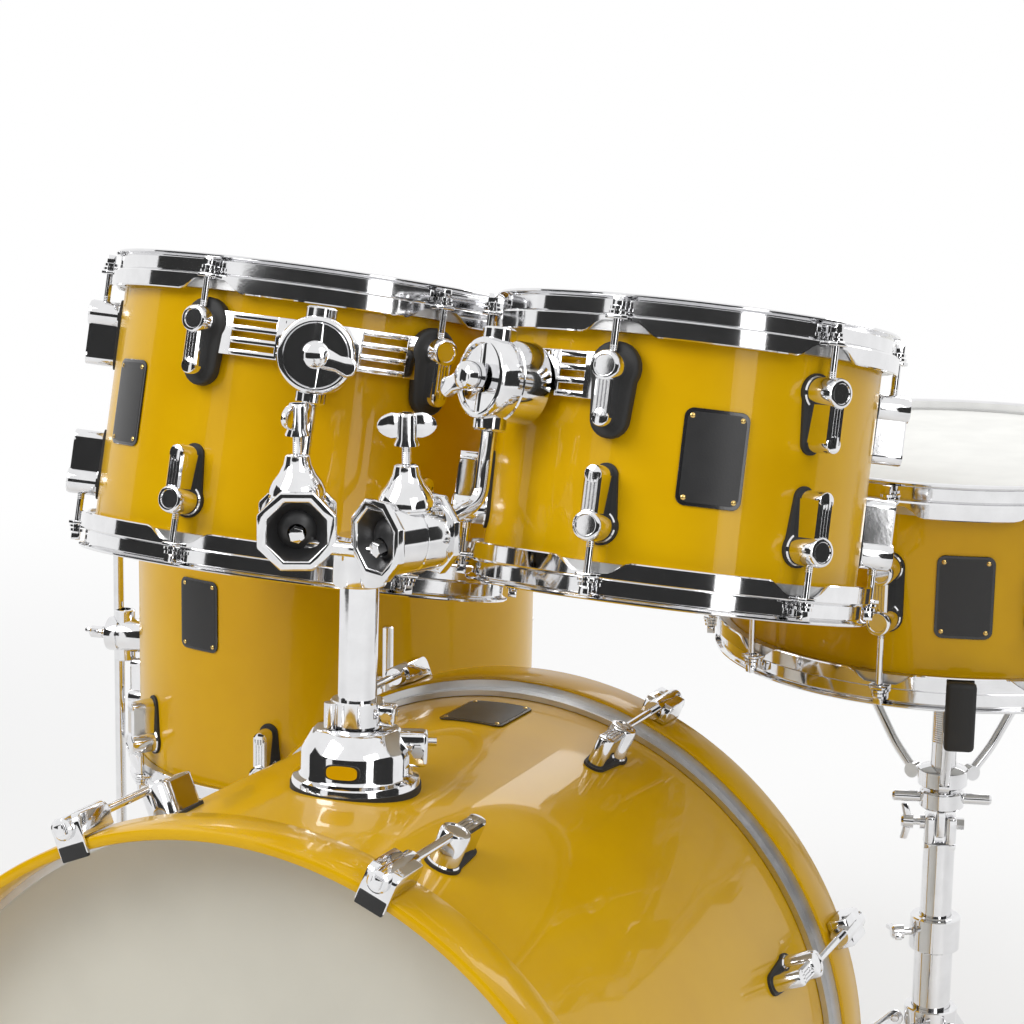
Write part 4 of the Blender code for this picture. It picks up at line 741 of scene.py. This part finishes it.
def holderHead():
    top = holderShape["to"]
    sleeve = spun([
        (0.0, top + 0.0130), (0.0150, top + 0.0130), (0.0172, top + 0.0112), (0.0175, top + 0.0080), (0.0175, top - 0.0180),
        (0.0166, top - 0.0195), (0.0130, top - 0.0195), (0.0130, top + 0.0005), (0.0, top + 0.0005)], 64)
    arm = soften(brick((-0.0300, -0.0255, top + 0.0025), (0.0300, 0.0035, top + 0.0115)), 0.0030, 3)
    body = gather([sleeve, arm])
    piece("holder_head_sleeve", body, chrome, "tom_post", holderFrame, ("holder_head",))
    for side in ("left", "right"):
        centre, elbow, rodTop = rodPoints(side)
        run = (centre - elbow).normalized()
        heading = math.degrees(math.atan2(run.x, -run.y))
        at = Matrix.Translation(centre) @ turn(heading)
        b, half = 0.0234, 0.0243
        barrel = spun([
            (b - 0.0020, half), (b - 0.0005, half - 0.0006), (b, half - 0.0020), (b, 0.0012), (b - 0.0010, 0.0006),
            (b - 0.0010, -0.0006), (b, -0.0012), (b, -half + 0.0020), (b - 0.0005, -half + 0.0006), (b - 0.0020, -half),
            (0.0206, -half), (0.0206, half)], 64)
        barrel = moved(barrel, turn(90.0, "X"))
        dome = spun([
            (0.0, 0.0460), (0.0060, 0.0458), (0.0078, 0.0450), (0.0082, 0.0435), (0.0090, 0.0395), (0.0120, 0.0335),
            (0.0158, 0.0285), (0.0180, 0.0235), (0.0184, 0.0205), (0.0174, 0.0200), (0.0174, 0.0188), (0.0184, 0.0182),
            (0.0184, 0.0212 - 0.0040), (0.0, 0.0212 - 0.0040)], 56)
        stud = rod(0.0029, 0.0440, 0.0740, 20)
        bezel = spun([(0.0274, half + 0.0004), (0.0274, half - 0.0052), (0.0204, half - 0.0052), (0.0204, half + 0.0004)], 8)
        bezel = soften(moved(bezel, turn(22.5)), 0.0012, 2)
        bezels = gather([bezel], [turn(90.0, "X"), turn(-90.0, "X")])
        cup = spun([
            (0.0205, half - 0.0006), (0.0205, half - 0.0030), (0.0125, half - 0.0120), (0.0112, half - 0.0120), (0.0112, half - 0.0108),
            (0.0190, half - 0.0006)], 48)
        piece(f"holder_{side}_cup", moved(cup, turn(90.0, "X")), blackNylon, "tom_post", at)
        turns = [rod(0.0031, z, z + 0.0008, 16, 0.0027) for z in [0.047 + 0.0013 * k for k in range(9)]]
        piece(f"holder_{side}_clamp", gather([barrel, bezels, dome, stud] + turns), chrome, "tom_post", at)
        wingNut(side, at)
        ballJoint(side, centre, run)
        tomRod(side, centre, elbow, rodTop, run)


def wingNut(side, at):
    low, high = 0.0580, 0.0795
    rise = high - low
    hub = spun([
        (0.0034, high - 0.0010), (0.0052, high - 0.0010), (0.0062, high - 0.0030), (0.0066, low + 0.0040), (0.0080, low + 0.0010),
        (0.0080, low), (0.0034, low)], 36)
    blade = [(0.0040, 0.0035)] + [
        (0.0050 + 0.0140 * math.cos(math.radians(a)), rise * 0.52 + rise * 0.40 * math.sin(math.radians(a)))
        for a in range(-70, 71, 14)] + [(0.0040, rise - 0.0030)]
    wings = []
    for sign in (1, -1):
        wing = soften(slab([(sign * x, y) for x, y in blade][::sign], 0.0042), 0.0014, 2)
        wings.append(moved(wing, shift(z=low + 0.0015) @ turn(90.0, "X")))
    piece(f"{side}_wing_nut_body", gather([hub] + wings), chrome, f"{side}_wing_nut", at @ turn(62.0),
          (f"{side}_wing_nut",))


def ballJoint(side, centre, run):
    facing = Matrix.Translation(centre) @ run.to_track_quat("Z", "Y").to_matrix().to_4x4()
    core = []
    r, bore, steps = holderShape["ball"], 0.0061, 20
    start = math.degrees(math.asin(bore / r))
    core = [(x, y) for y, x in arc(0.0, 0.0, r, start, 180.0 - start, steps)]
    profile = [(x, z) for x, z in core] + [(bore, core[-1][1]), (bore, core[0][1])]
    piece(f"{side}_ball_core", spun(profile, 64), blackNylon, f"{side}_ball", facing, (f"{side}_ball",))


def tomRod(side, centre, elbow, top, run):
    path = rounded(centre + run * 0.0255, elbow, top, 0.011, 8)
    bar = swept(path, 0.0054, 6)
    soften(bar, 0.0005, 2, 50.0)
    piece(f"{side}_hex_rod", bar, chrome, f"{side}_tom_rod", None, (f"{side}_tom_rod",), 25.0)


holder()
holderHead()
print("tom holder made")


# floor tom legs

legShape = {"az": 38.3, "out": 0.0360, "radius": 0.0049, "foot": 0.0125, "low": -0.092, "high": -0.042, "deep": 0.0460,
            "drum": 0.0160}


def floorLegs():
    g = legShape
    radius = drums["floor_tom"]["radius"]
    reach = radius + g["out"]
    brackets, bolts = [], []
    for k in range(3):
        azimuth = g["az"] + 120.0 * k
        low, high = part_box(f"floor_tom_leg_{k + 1}")
        middle = (low + high) / 2.0
        at = Matrix.Translation((middle.x, middle.y, 0.0))
        leg = spun([
            (0.0, high.z), (0.0040, high.z), (g["radius"], high.z - 0.0010), (g["radius"], 0.022), (0.0, 0.022)], 32)
        collar = spun([(0.0068, 0.0440), (0.0078, 0.0430), (0.0078, 0.0350), (0.0068, 0.0340), (0.0, 0.0340), (0.0, 0.0440)], 28)
        piece(f"floor_tom_leg_{k + 1}_rod", moved(gather([leg, collar]), at), chrome, f"floor_tom_leg_{k + 1}", None,
              (f"floor_tom_leg_{k + 1}",))
        foot = spun([
            (0.0, 0.0320), (0.0060, 0.0320), (0.0072, 0.0305), (0.0082, 0.0240), (0.0118, 0.0150), (0.0125, 0.0130), (0.0125, 0.0030),
            (0.0115, 0.0), (0.0, 0.0)], 40)
        piece(f"floor_tom_leg_{k + 1}_foot", moved(foot, at), rubber, f"floor_tom_leg_{k + 1}")
        spot = turn(azimuth)
        z, r, b = (g["low"] + g["high"]) / 2.0, g["drum"], g["deep"]
        foot = soften(brick((-0.0125, -0.0040, g["low"]), (0.0125, 0.0, g["high"])), 0.0018, 2)
        brackets.append(moved(foot, spot @ shift(y=-radius)))
        drum = spun([
            (0.0, b), (r - 0.0022, b), (r - 0.0006, b - 0.0008), (r, b - 0.0024), (r, b - 0.0120), (r - 0.0014, b - 0.0128),
            (r - 0.0014, b - 0.0146), (r, b - 0.0154), (r, 0.0060), (r + 0.0014, 0.0040), (r + 0.0014, 0.0), (0.0, 0.0)], 56)
        brackets.append(moved(drum, spot @ shift(y=-radius, z=z) @ turn(90.0, "X")))
        guide = spun([(0.0088, 0.0240), (0.0098, 0.0230), (0.0098, -0.0230), (0.0088, -0.0240), (0.0056, -0.0240), (0.0056, 0.0240)], 32)
        brackets.append(moved(guide, spot @ shift(y=-(radius + g["out"] - 0.0060), z=z)))
        stem = rod(0.0034, b - 0.001, b + 0.0060, 20)
        hub = spun([(0.0, b + 0.0190), (0.0040, b + 0.0188), (0.0056, b + 0.0172), (0.0056, b + 0.0060), (0.0, b + 0.0060)], 28)
        blade = slab([(-0.0160, 0.0052), (-0.0165, -0.0010), (-0.0055, -0.0045), (0.0055, -0.0045), (0.0165, -0.0010),
                      (0.0160, 0.0052), (0.0055, 0.0030), (-0.0055, 0.0030)], 0.0045)
        blade = moved(soften(blade, 0.0014, 2), shift(z=b + 0.0130) @ turn(90.0, "X"))
        side = spot @ shift(y=-radius, z=z) @ turn(90.0, "X") @ turn(20.0)
        bolts += [moved(p, side) for p in (stem, hub, blade)]
    piece("floor_tom_leg_brackets", gather(brackets), chrome, "floor_tom", floorFrame)
    piece("floor_tom_wing_bolts", gather(bolts), chrome, "floor_tom", floorFrame)


floorLegs()
print("floor tom legs made")


# snare strainer, butt and wires

strainerShape = {"az": 87.8, "out": 0.0198, "half": 0.0168, "low": -0.0478, "top": 0.0178}


def strainer():
    s = strainerShape
    radius = drums["snare"]["radius"]
    blocks = []
    for extra in (0.0, 180.0):
        block = soften(brick((-s["half"], -(radius + s["out"]), s["low"]), (s["half"], -(radius - 0.001), s["top"])), 0.0035, 3)
        rib = [soften(brick((-s["half"] + 0.004 + 0.008 * k, -(radius + s["out"] + 0.0002), s["low"] + 0.010),
                            (-s["half"] + 0.008 + 0.008 * k, -(radius + s["out"] - 0.002), s["top"] - 0.012)), 0.0004)
               for k in range(4)] if extra else []
        blocks += [moved(p, turn(s["az"] + extra)) for p in [block] + rib]
        screw = spun([(0.0, 0.0030), (0.0036, 0.0028), (0.0050, 0.0), (0.0, -0.001)], 24)
        blocks.append(moved(screw, turn(s["az"] + extra) @ shift(0.0, -(radius + 0.010), s["top"]) ))
    piece("snare_strainer_body", gather(blocks), chrome, "snare_drum", snareFrame)
    pivot = Vector(joints["strainer_lever_throw"]["pos_m"])
    at = Matrix.Translation(pivot) @ snareFrame.to_3x3().to_4x4() @ turn(s["az"])
    outline = arc(0.0, 0.0, 0.0030, 180.0, 360.0, 10) + [(0.0030, 0.045), (0.0030, 0.0600), (-0.0010, 0.0600), (-0.0030, 0.050)]
    throw = soften(slab(outline, 0.0118), 0.0007, 2)
    throw = moved(throw, Matrix(((0, 0, 1, 0), (1, 0, 0, 0), (0, 1, 0, 0), (0, 0, 0, 1))))
    piece("snare_throw_lever", throw, chrome, "strainer_lever", at, ("snare_strainer_lever",))
    wires = []
    for k in range(20):
        x = -0.0200 + 0.0400 * k / 19.0
        wires.append(swept([(x, -0.1420, 0.0), (x, 0.1420, 0.0)], 0.0007, 6))
    plates = [brick((-0.0210, sign * 0.1500 - 0.0098, -0.0007), (0.0210, sign * 0.1500 + 0.0098, 0.0007)) for sign in (-1, 1)]
    low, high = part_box("snare_wires")
    under = Matrix.Translation((low + high) / 2.0) @ snareFrame.to_3x3().to_4x4() @ turn(s["az"])
    piece("snare_wire_strands", gather(wires + plates), satinSteel, "snare_drum", under, ("snare_wires",))


strainer()
print("strainer and wires made")


# snare stand

standShape = {
    "upper": 0.0128, "lower": 0.0156, "lowerFrom": 0.034, "lowerTo": 0.305, "collar": 0.0215, "collarLow": 0.200,
    "collarHigh": 0.226, "hubLow": 0.040, "hubHigh": 0.064, "strip": 0.0140, "thick": 0.0036, "az": 15.8,
}
pivotAt = Vector(joints["basket_tilt"]["pos_m"])
standFrame = Matrix.Translation((pivotAt.x, pivotAt.y, 0.0))
tilterFrame = Matrix.Translation(pivotAt) @ snareFrame.to_3x3().to_4x4()


def standTubes():
    s = standShape
    u, w = s["upper"], s["lower"]
    lower = spun([
        (w - 0.0010, s["lowerTo"]), (w, s["lowerTo"] - 0.0010), (w, s["lowerFrom"]), (u + 0.0002, s["lowerFrom"]),
        (u + 0.0002, s["lowerTo"])], 48)
    clamp = spun([
        (0.0196, 0.3040), (0.0205, 0.3030), (0.0205, 0.2770), (0.0196, 0.2760), (w - 0.0002, 0.2760), (w - 0.0002, 0.3040)], 48)
    c = s["collar"]
    hub = spun([
        (c - 0.001, s["hubHigh"]), (c, s["hubHigh"] - 0.001), (c, s["hubLow"] + 0.001), (c - 0.001, s["hubLow"]),
        (w - 0.0005, s["hubLow"]), (w - 0.0005, s["hubHigh"])], 48)
    screw = moved(gather(wingBolt()), turn(-60.0) @ shift(0.0, -0.0200, 0.290) @ turn(90.0, "X"))
    piece("stand_base_tube", gather([lower, clamp, hub, screw]), chrome, "snare_stand", standFrame,
          ("stand_lower_tube",))
    top = pivotAt.z
    upper = spun([(0.0, top - 0.016), (u, top - 0.016), (u, 0.141), (0.0, 0.141)], 48)
    cheeks = [soften(brick((sign * 0.0128 if sign < 0 else 0.0044, -0.0105, top - 0.0195),
                           (-0.0044 if sign < 0 else 0.0128, 0.0105, top + 0.0078)), 0.0030, 3) for sign in (-1, 1)]
    floor = soften(brick((-0.0128, -0.0105, top - 0.0198), (0.0128, 0.0105, top - 0.0145)), 0.0010)
    bolt = [moved(rod(0.0050, 0.0128, 0.0190, 6), shift(z=top) @ turn(90.0, "Y")),
            moved(rod(0.0060, -0.0165, -0.0128, 24), shift(z=top) @ turn(90.0, "Y"))]
    tee = moved(gather(wingBolt()), shift(-0.0150, 0.0, top) @ turn(-90.0, "Y"))
    fork = [moved(p, turn(s["az"])) for p in cheeks + [floor] + bolt + [tee]]
    piece("stand_top_tube", gather([upper] + fork), chrome, "stand_upper_tube", standFrame, ("stand_upper_tube",))


def wingBolt():
    stem = rod(0.0030, -0.004, 0.0080, 16)
    hub = spun([(0.0, 0.0170), (0.0040, 0.0168), (0.0056, 0.0150), (0.0060, 0.0070), (0.0, 0.0070)], 24)
    blade = slab([(-0.0150, 0.0050), (-0.0155, -0.0010), (-0.0050, -0.0040), (0.0050, -0.0040), (0.0155, -0.0010), (0.0150, 0.0050),
                  (0.0050, 0.0028), (-0.0050, 0.0028)], 0.0040)
    return [stem, hub, moved(soften(blade, 0.0012, 2), shift(z=0.0125) @ turn(90.0, "X"))]


def strip(start, end, channel):
    # pressed strip with round ends and rivets
    s = standShape
    run = Vector((0.0, end[1] - start[1], end[2] - start[2]))
    half, thick = s["strip"] / 2.0, s["thick"]
    outline = arc(0.0, 0.0, half, 90.0, 270.0, 10) + arc(run.length, 0.0, half, -90.0, 90.0, 10)
    flat = soften(slab(outline, thick), 0.0006)
    rivets = [moved(spun([(0.0, thick / 2 + 0.0014), (0.0026, thick / 2 + 0.0010), (0.0038, thick / 2 - 0.0004), (0.0, thick / 2 - 0.0006)],
                         20), shift(x)) for x in (0.0, run.length)]
    parts = [flat] + (rivets if channel else [])
    along = run.normalized()
    across = Vector((1.0, 0.0, 0.0))
    matrix = Matrix((along, across.cross(along), across)).transposed().to_4x4()
    return [moved(p, matrix) for p in parts]


def tripod():
    s = standShape
    c = s["collar"]
    ring = spun([
        (c - 0.001, s["collarHigh"]), (c, s["collarHigh"] - 0.001), (c, s["collarLow"] + 0.001), (c - 0.001, s["collarLow"]),
        (s["lower"] + 0.0003, s["collarLow"]), (s["lower"] + 0.0003, s["collarHigh"])], 48)
    screw = moved(gather(wingBolt()), turn(-10.0) @ shift(0.0, -0.0210, 0.213) @ turn(90.0, "X"))
    piece("stand_collar_ring", gather([ring, screw]), chrome, "stand_leg_collar", standFrame, ("stand_leg_collar",))
    out = c + s["strip"] / 2.0 + 0.0006
    pivot, hub = (0.0, -out, (s["collarLow"] + s["collarHigh"]) / 2.0), (0.0, -out, (s["hubLow"] + s["hubHigh"]) / 2.0)
    foot = (0.0, -0.260, 0.009)
    joint = tuple(a + (b - a) * 0.40 for a, b in zip(pivot, foot))
    for k in range(3):
        spot = standFrame @ turn(50.0 + 120.0 * k)
        leg = gather([moved(p, Matrix.Translation(pivot)) for p in strip(pivot, foot, True)])
        piece(f"stand_leg_{k + 1}_strip", leg, chrome, f"stand_leg_{k + 1}", spot, (f"stand_leg_{k + 1}",))
        pad = soften(brick((-0.0110, -0.280, 0.0), (0.0110, -0.240, 0.018)), 0.0045, 3)
        piece(f"stand_leg_{k + 1}_pad", pad, rubber, f"stand_leg_{k + 1}", spot)
        brace = gather([moved(p, shift(x=s["thick"] + 0.0003) @ Matrix.Translation(hub)) for p in strip(hub, joint, True)])
        piece(f"stand_brace_{k + 1}_strip", brace, chrome, f"stand_brace_{k + 1}", spot, (f"stand_brace_{k + 1}",))


basketShape = {"tube": 0.0103, "tubeTop": 0.112, "plate": 0.0200, "pivot": 0.0400, "armEye": 0.0062, "nut": 0.0180,
               "nutLow": 0.014, "nutTop": 0.029, "barHalf": 0.0400}


def basket():
    g = basketShape
    t = g["tube"]
    tube = spun([
        (0.0, g["tubeTop"]), (t - 0.0010, g["tubeTop"]), (t, g["tubeTop"] - 0.0010), (t, g["pivot"] + 0.009),
        (g["plate"] - 0.001, g["pivot"] + 0.007), (g["plate"], g["pivot"] + 0.006), (g["plate"], g["pivot"] - 0.006),
        (g["plate"] - 0.001, g["pivot"] - 0.007), (t, g["pivot"] - 0.009), (t, 0.012), (0.0, 0.012)], 48)
    tongue = moved(soften(brick((-0.0040, -0.0088, -0.0110), (0.0040, 0.0088, 0.0140)), 0.0020, 2), turn(standShape["az"]))
    threads = [rod(t + 0.0004, z, z + 0.0009, 40, t) for z in [0.0700 + 0.0018 * k for k in range(20)]]
    piece("basket_stem", gather([tube, tongue] + threads), chrome, "basket", tilterFrame, ("basket_hub",))
    n = g["nut"]
    ring = spun([
        (n - 0.0015, g["nutTop"]), (n, g["nutTop"] - 0.0015), (n, g["nutLow"] + 0.0015), (n - 0.0015, g["nutLow"]),
        (t + 0.0003, g["nutLow"]), (t + 0.0003, g["nutTop"])], 48)
    middle = (g["nutLow"] + g["nutTop"]) / 2.0
    bars = []
    for sign in (-1, 1):
        bar = spun([(0.0, 0.0400), (0.0030, 0.0398), (0.0045, 0.0380), (0.0045, 0.0150), (0.0, 0.0150)], 24)
        bars.append(moved(bar, turn(standShape["az"]) @ shift(z=middle) @ turn(90.0 * sign, "Y")))
    piece("basket_nut_ring", gather([ring] + bars), chrome, "basket_nut", tilterFrame, ("basket_nut",))
    for k in range(3):
        basketArm(k)
    print("snare stand made")


def basketArm(k):
    g = basketShape
    radius = drums["snare"]["radius"]
    azimuth = standShape["az"] + 120.0 * k
    pivot = Vector(joints[f"basket_arm_{k + 1}_open"]["pos_m"])
    at = Matrix.Translation(pivot) @ snareFrame.to_3x3().to_4x4() @ turn(azimuth)
    pivotOut = g["plate"] + g["armEye"] + 0.0006
    down = (snareFrame.inverted() @ pivotAt).z
    hoopBottom = -down - drums["snare"]["depth"] / 2.0 - hoopShape["lipUp"]
    seat = hoopBottom - 0.0200 - g["pivot"]
    inner = radius + hoopShape["skirtOut"] + 0.0035 - pivotOut
    ends = [(0.0, 0.0, 0.0), (0.0, -0.018, 0.020), (0.0, -0.042, 0.058), (0.0, -0.085, seat - 0.004), (0.0, -(inner + 0.004), seat)]
    path = [Vector(ends[0])]
    for a, b, c in zip(ends, ends[1:], ends[2:]):
        path += rounded(a, b, c, 0.008, 5)[1:-1]
    path.append(Vector(ends[-1]))
    wire = swept(path, 0.0040, 16)
    eye = moved(rod(g["armEye"], -0.0040, 0.0040, 28), turn(90.0, "Y"))
    turned = swept([(0.0, -(inner + 0.0045), seat), (0.0, -(inner + 0.0050), seat + 0.040)], 0.0036, 12)
    piece(f"basket_arm_{k + 1}_wire", gather([wire, eye, turned]), chrome, f"basket_arm_{k + 1}", at,
          (f"basket_arm_{k + 1}",))
    grip = soften(brick((-0.0110, -(inner + 0.0100), seat - 0.006), (0.0110, -inner, seat + 0.046)), 0.0035, 3)
    rest = soften(brick((-0.0110, -(inner + 0.0020), seat + 0.003),
                        (0.0110, -(inner - 0.0160), hoopBottom - g["pivot"] - 0.0003)), 0.0025, 2)
    piece(f"basket_arm_{k + 1}_sleeve", gather([grip, rest]), rubber, f"basket_arm_{k + 1}", at)


standTubes()
tripod()
basket()


# floor, light and camera

stageValues = {"floor": (0.86, 0.86, 0.86), "card": (0.02, 0.02, 0.02), "key": 62.0, "fill": 28.0, "rim": 30.0, "world": 0.72,
               "fadeFrom": 1.1, "fadeTo": 3.4}


def stage():
    plane = bmesh.new()
    bmesh.ops.create_grid(plane, x_segments=2, y_segments=2, size=80.0)
    mesh = bpy.data.meshes.new("studio_floor")
    plane.to_mesh(mesh)
    plane.free()
    floor = bpy.data.objects.new("studio_floor", mesh)
    bpy.context.scene.collection.objects.link(floor)
    floor.location.z = -0.0002
    look = bpy.data.materials.new("pale floor")
    look.use_nodes = True
    look.node_tree.nodes["Principled BSDF"].inputs["Base Color"].default_value = (*stageValues["floor"], 1.0)
    look.node_tree.nodes["Principled BSDF"].inputs["Roughness"].default_value = 0.55
    nodes, links = look.node_tree.nodes, look.node_tree.links
    place = nodes.new("ShaderNodeTexCoord")
    reach = nodes.new("ShaderNodeVectorMath")
    reach.operation = "LENGTH"
    links.new(place.outputs["Object"], reach.inputs[0])
    share = nodes.new("ShaderNodeMapRange")
    share.interpolation_type = "SMOOTHSTEP"
    share.inputs["From Min"].default_value = stageValues["fadeFrom"]
    share.inputs["From Max"].default_value = stageValues["fadeTo"]
    links.new(reach.outputs["Value"], share.inputs["Value"])
    rays = nodes.new("ShaderNodeLightPath")
    seen = nodes.new("ShaderNodeMath")
    seen.operation = "MAXIMUM"
    links.new(rays.outputs["Is Camera Ray"], seen.inputs[0])
    links.new(rays.outputs["Is Glossy Ray"], seen.inputs[1])
    amount = nodes.new("ShaderNodeMath")
    amount.operation = "MULTIPLY"
    links.new(share.outputs["Result"], amount.inputs[0])
    links.new(seen.outputs["Value"], amount.inputs[1])
    white = nodes.new("ShaderNodeEmission")
    white.inputs["Strength"].default_value = 1.0
    mix = nodes.new("ShaderNodeMixShader")
    links.new(amount.outputs["Value"], mix.inputs["Fac"])
    links.new(nodes["Principled BSDF"].outputs["BSDF"], mix.inputs[1])
    links.new(white.outputs["Emission"], mix.inputs[2])
    links.new(mix.outputs["Shader"], nodes["Material Output"].inputs["Surface"])
    mesh.materials.append(look)


def darkCard(name, place, target, wide, tall):
    # black card out of the picture, for the dark bands in the chrome
    card = bmesh.new()
    bmesh.ops.create_grid(card, x_segments=1, y_segments=1, size=0.5)
    mesh = bpy.data.meshes.new(name)
    card.to_mesh(mesh)
    card.free()
    made = bpy.data.objects.new(name, mesh)
    bpy.context.scene.collection.objects.link(made)
    made.location = place
    made.scale = (wide, tall, 1.0)
    made.rotation_mode = "QUATERNION"
    made.rotation_quaternion = (Vector(target) - Vector(place)).to_track_quat("Z", "Y")
    look = bpy.data.materials.new(name)
    look.use_nodes = True
    look.node_tree.nodes["Principled BSDF"].inputs["Base Color"].default_value = (*stageValues["card"], 1.0)
    look.node_tree.nodes["Principled BSDF"].inputs["Roughness"].default_value = 0.9
    mesh.materials.append(look)
    made.visible_camera = False


def areaLight(name, place, target, size, power):
    lamp = bpy.data.lights.new(name, "AREA")
    lamp.shape = "RECTANGLE"
    lamp.size, lamp.size_y = size
    lamp.energy = power
    made = bpy.data.objects.new(name, lamp)
    bpy.context.scene.collection.objects.link(made)
    made.location = place
    made.rotation_mode = "QUATERNION"
    made.rotation_quaternion = (Vector(target) - Vector(place)).to_track_quat("-Z", "Y")


def world():
    made = bpy.data.worlds.new("studio")
    bpy.context.scene.world = made
    made.use_nodes = True
    nodes, links = made.node_tree.nodes, made.node_tree.links
    back = nodes["Background"]
    back.inputs["Color"].default_value = (1.0, 1.0, 1.0, 1.0)
    back.inputs["Strength"].default_value = stageValues["world"]
    seen = nodes.new("ShaderNodeBackground")
    seen.inputs["Color"].default_value = (1.0, 1.0, 1.0, 1.0)
    seen.inputs["Strength"].default_value = 1.0
    path = nodes.new("ShaderNodeLightPath")
    mix = nodes.new("ShaderNodeMixShader")
    either = nodes.new("ShaderNodeMath")
    either.operation = "MAXIMUM"
    links.new(path.outputs["Is Camera Ray"], either.inputs[0])
    links.new(path.outputs["Is Glossy Ray"], either.inputs[1])
    links.new(either.outputs["Value"], mix.inputs["Fac"])
    links.new(back.outputs["Background"], mix.inputs[1])
    links.new(seen.outputs["Background"], mix.inputs[2])
    links.new(mix.outputs["Shader"], nodes["World Output"].inputs["Surface"])


cameraValues = {"fromBassAxis": (0.7067, -1.4755, 1.0243), "yaw": 22.9727, "pitch": 11.1913, "roll": 1.05, "focalPixels": 2522.16}


def camera():
    # placed from the middle of the bass drum, as the photograph's own view was worked out
    c = cameraValues
    lens = bpy.data.cameras.new("view")
    lens.sensor_width = 36.0
    lens.lens = c["focalPixels"] / 1024.0 * 36.0
    made = bpy.data.objects.new("view", lens)
    bpy.context.scene.collection.objects.link(made)
    middle = bassLevel.translation
    made.location = Vector(c["fromBassAxis"]) + Vector((middle.x, middle.y, 0.0))
    yaw, pitch, roll = (math.radians(c[k]) for k in ("yaw", "pitch", "roll"))
    ahead = Vector((-math.sin(yaw) * math.cos(pitch), math.cos(yaw) * math.cos(pitch), -math.sin(pitch)))
    right = Vector((math.cos(yaw), math.sin(yaw), 0.0))
    up = right.cross(ahead)
    across = math.cos(roll) * right + math.sin(roll) * up
    above = -math.sin(roll) * right + math.cos(roll) * up
    made.rotation_mode = "QUATERNION"
    made.rotation_quaternion = Matrix((across, above, -ahead)).transposed().to_quaternion()
    bpy.context.scene.camera = made


stage()
darkCard("front card", (1.0, -4.2, 1.2), (0.2, 0.0, 0.9), 6.0, 1.9)
darkCard("left card", (-2.6, -1.7, 1.0), (0.0, 0.0, 0.6), 2.6, 1.9)
darkCard("right card", (3.0, -0.5, 1.1), (0.0, 0.0, 0.6), 2.6, 1.9)
areaLight("key", (-1.6, -2.4, 2.8), (0.0, 0.0, 0.4), (1.8, 1.8), stageValues["key"])
areaLight("fill", (2.6, -1.6, 1.8), (0.0, 0.0, 0.4), (1.6, 2.2), stageValues["fill"])
areaLight("rim", (0.6, 2.6, 2.4), (0.0, 0.0, 0.5), (2.4, 1.2), stageValues["rim"])
world()
camera()
bpy.context.scene.view_settings.view_transform = "Standard"
print("stage, light and camera made")
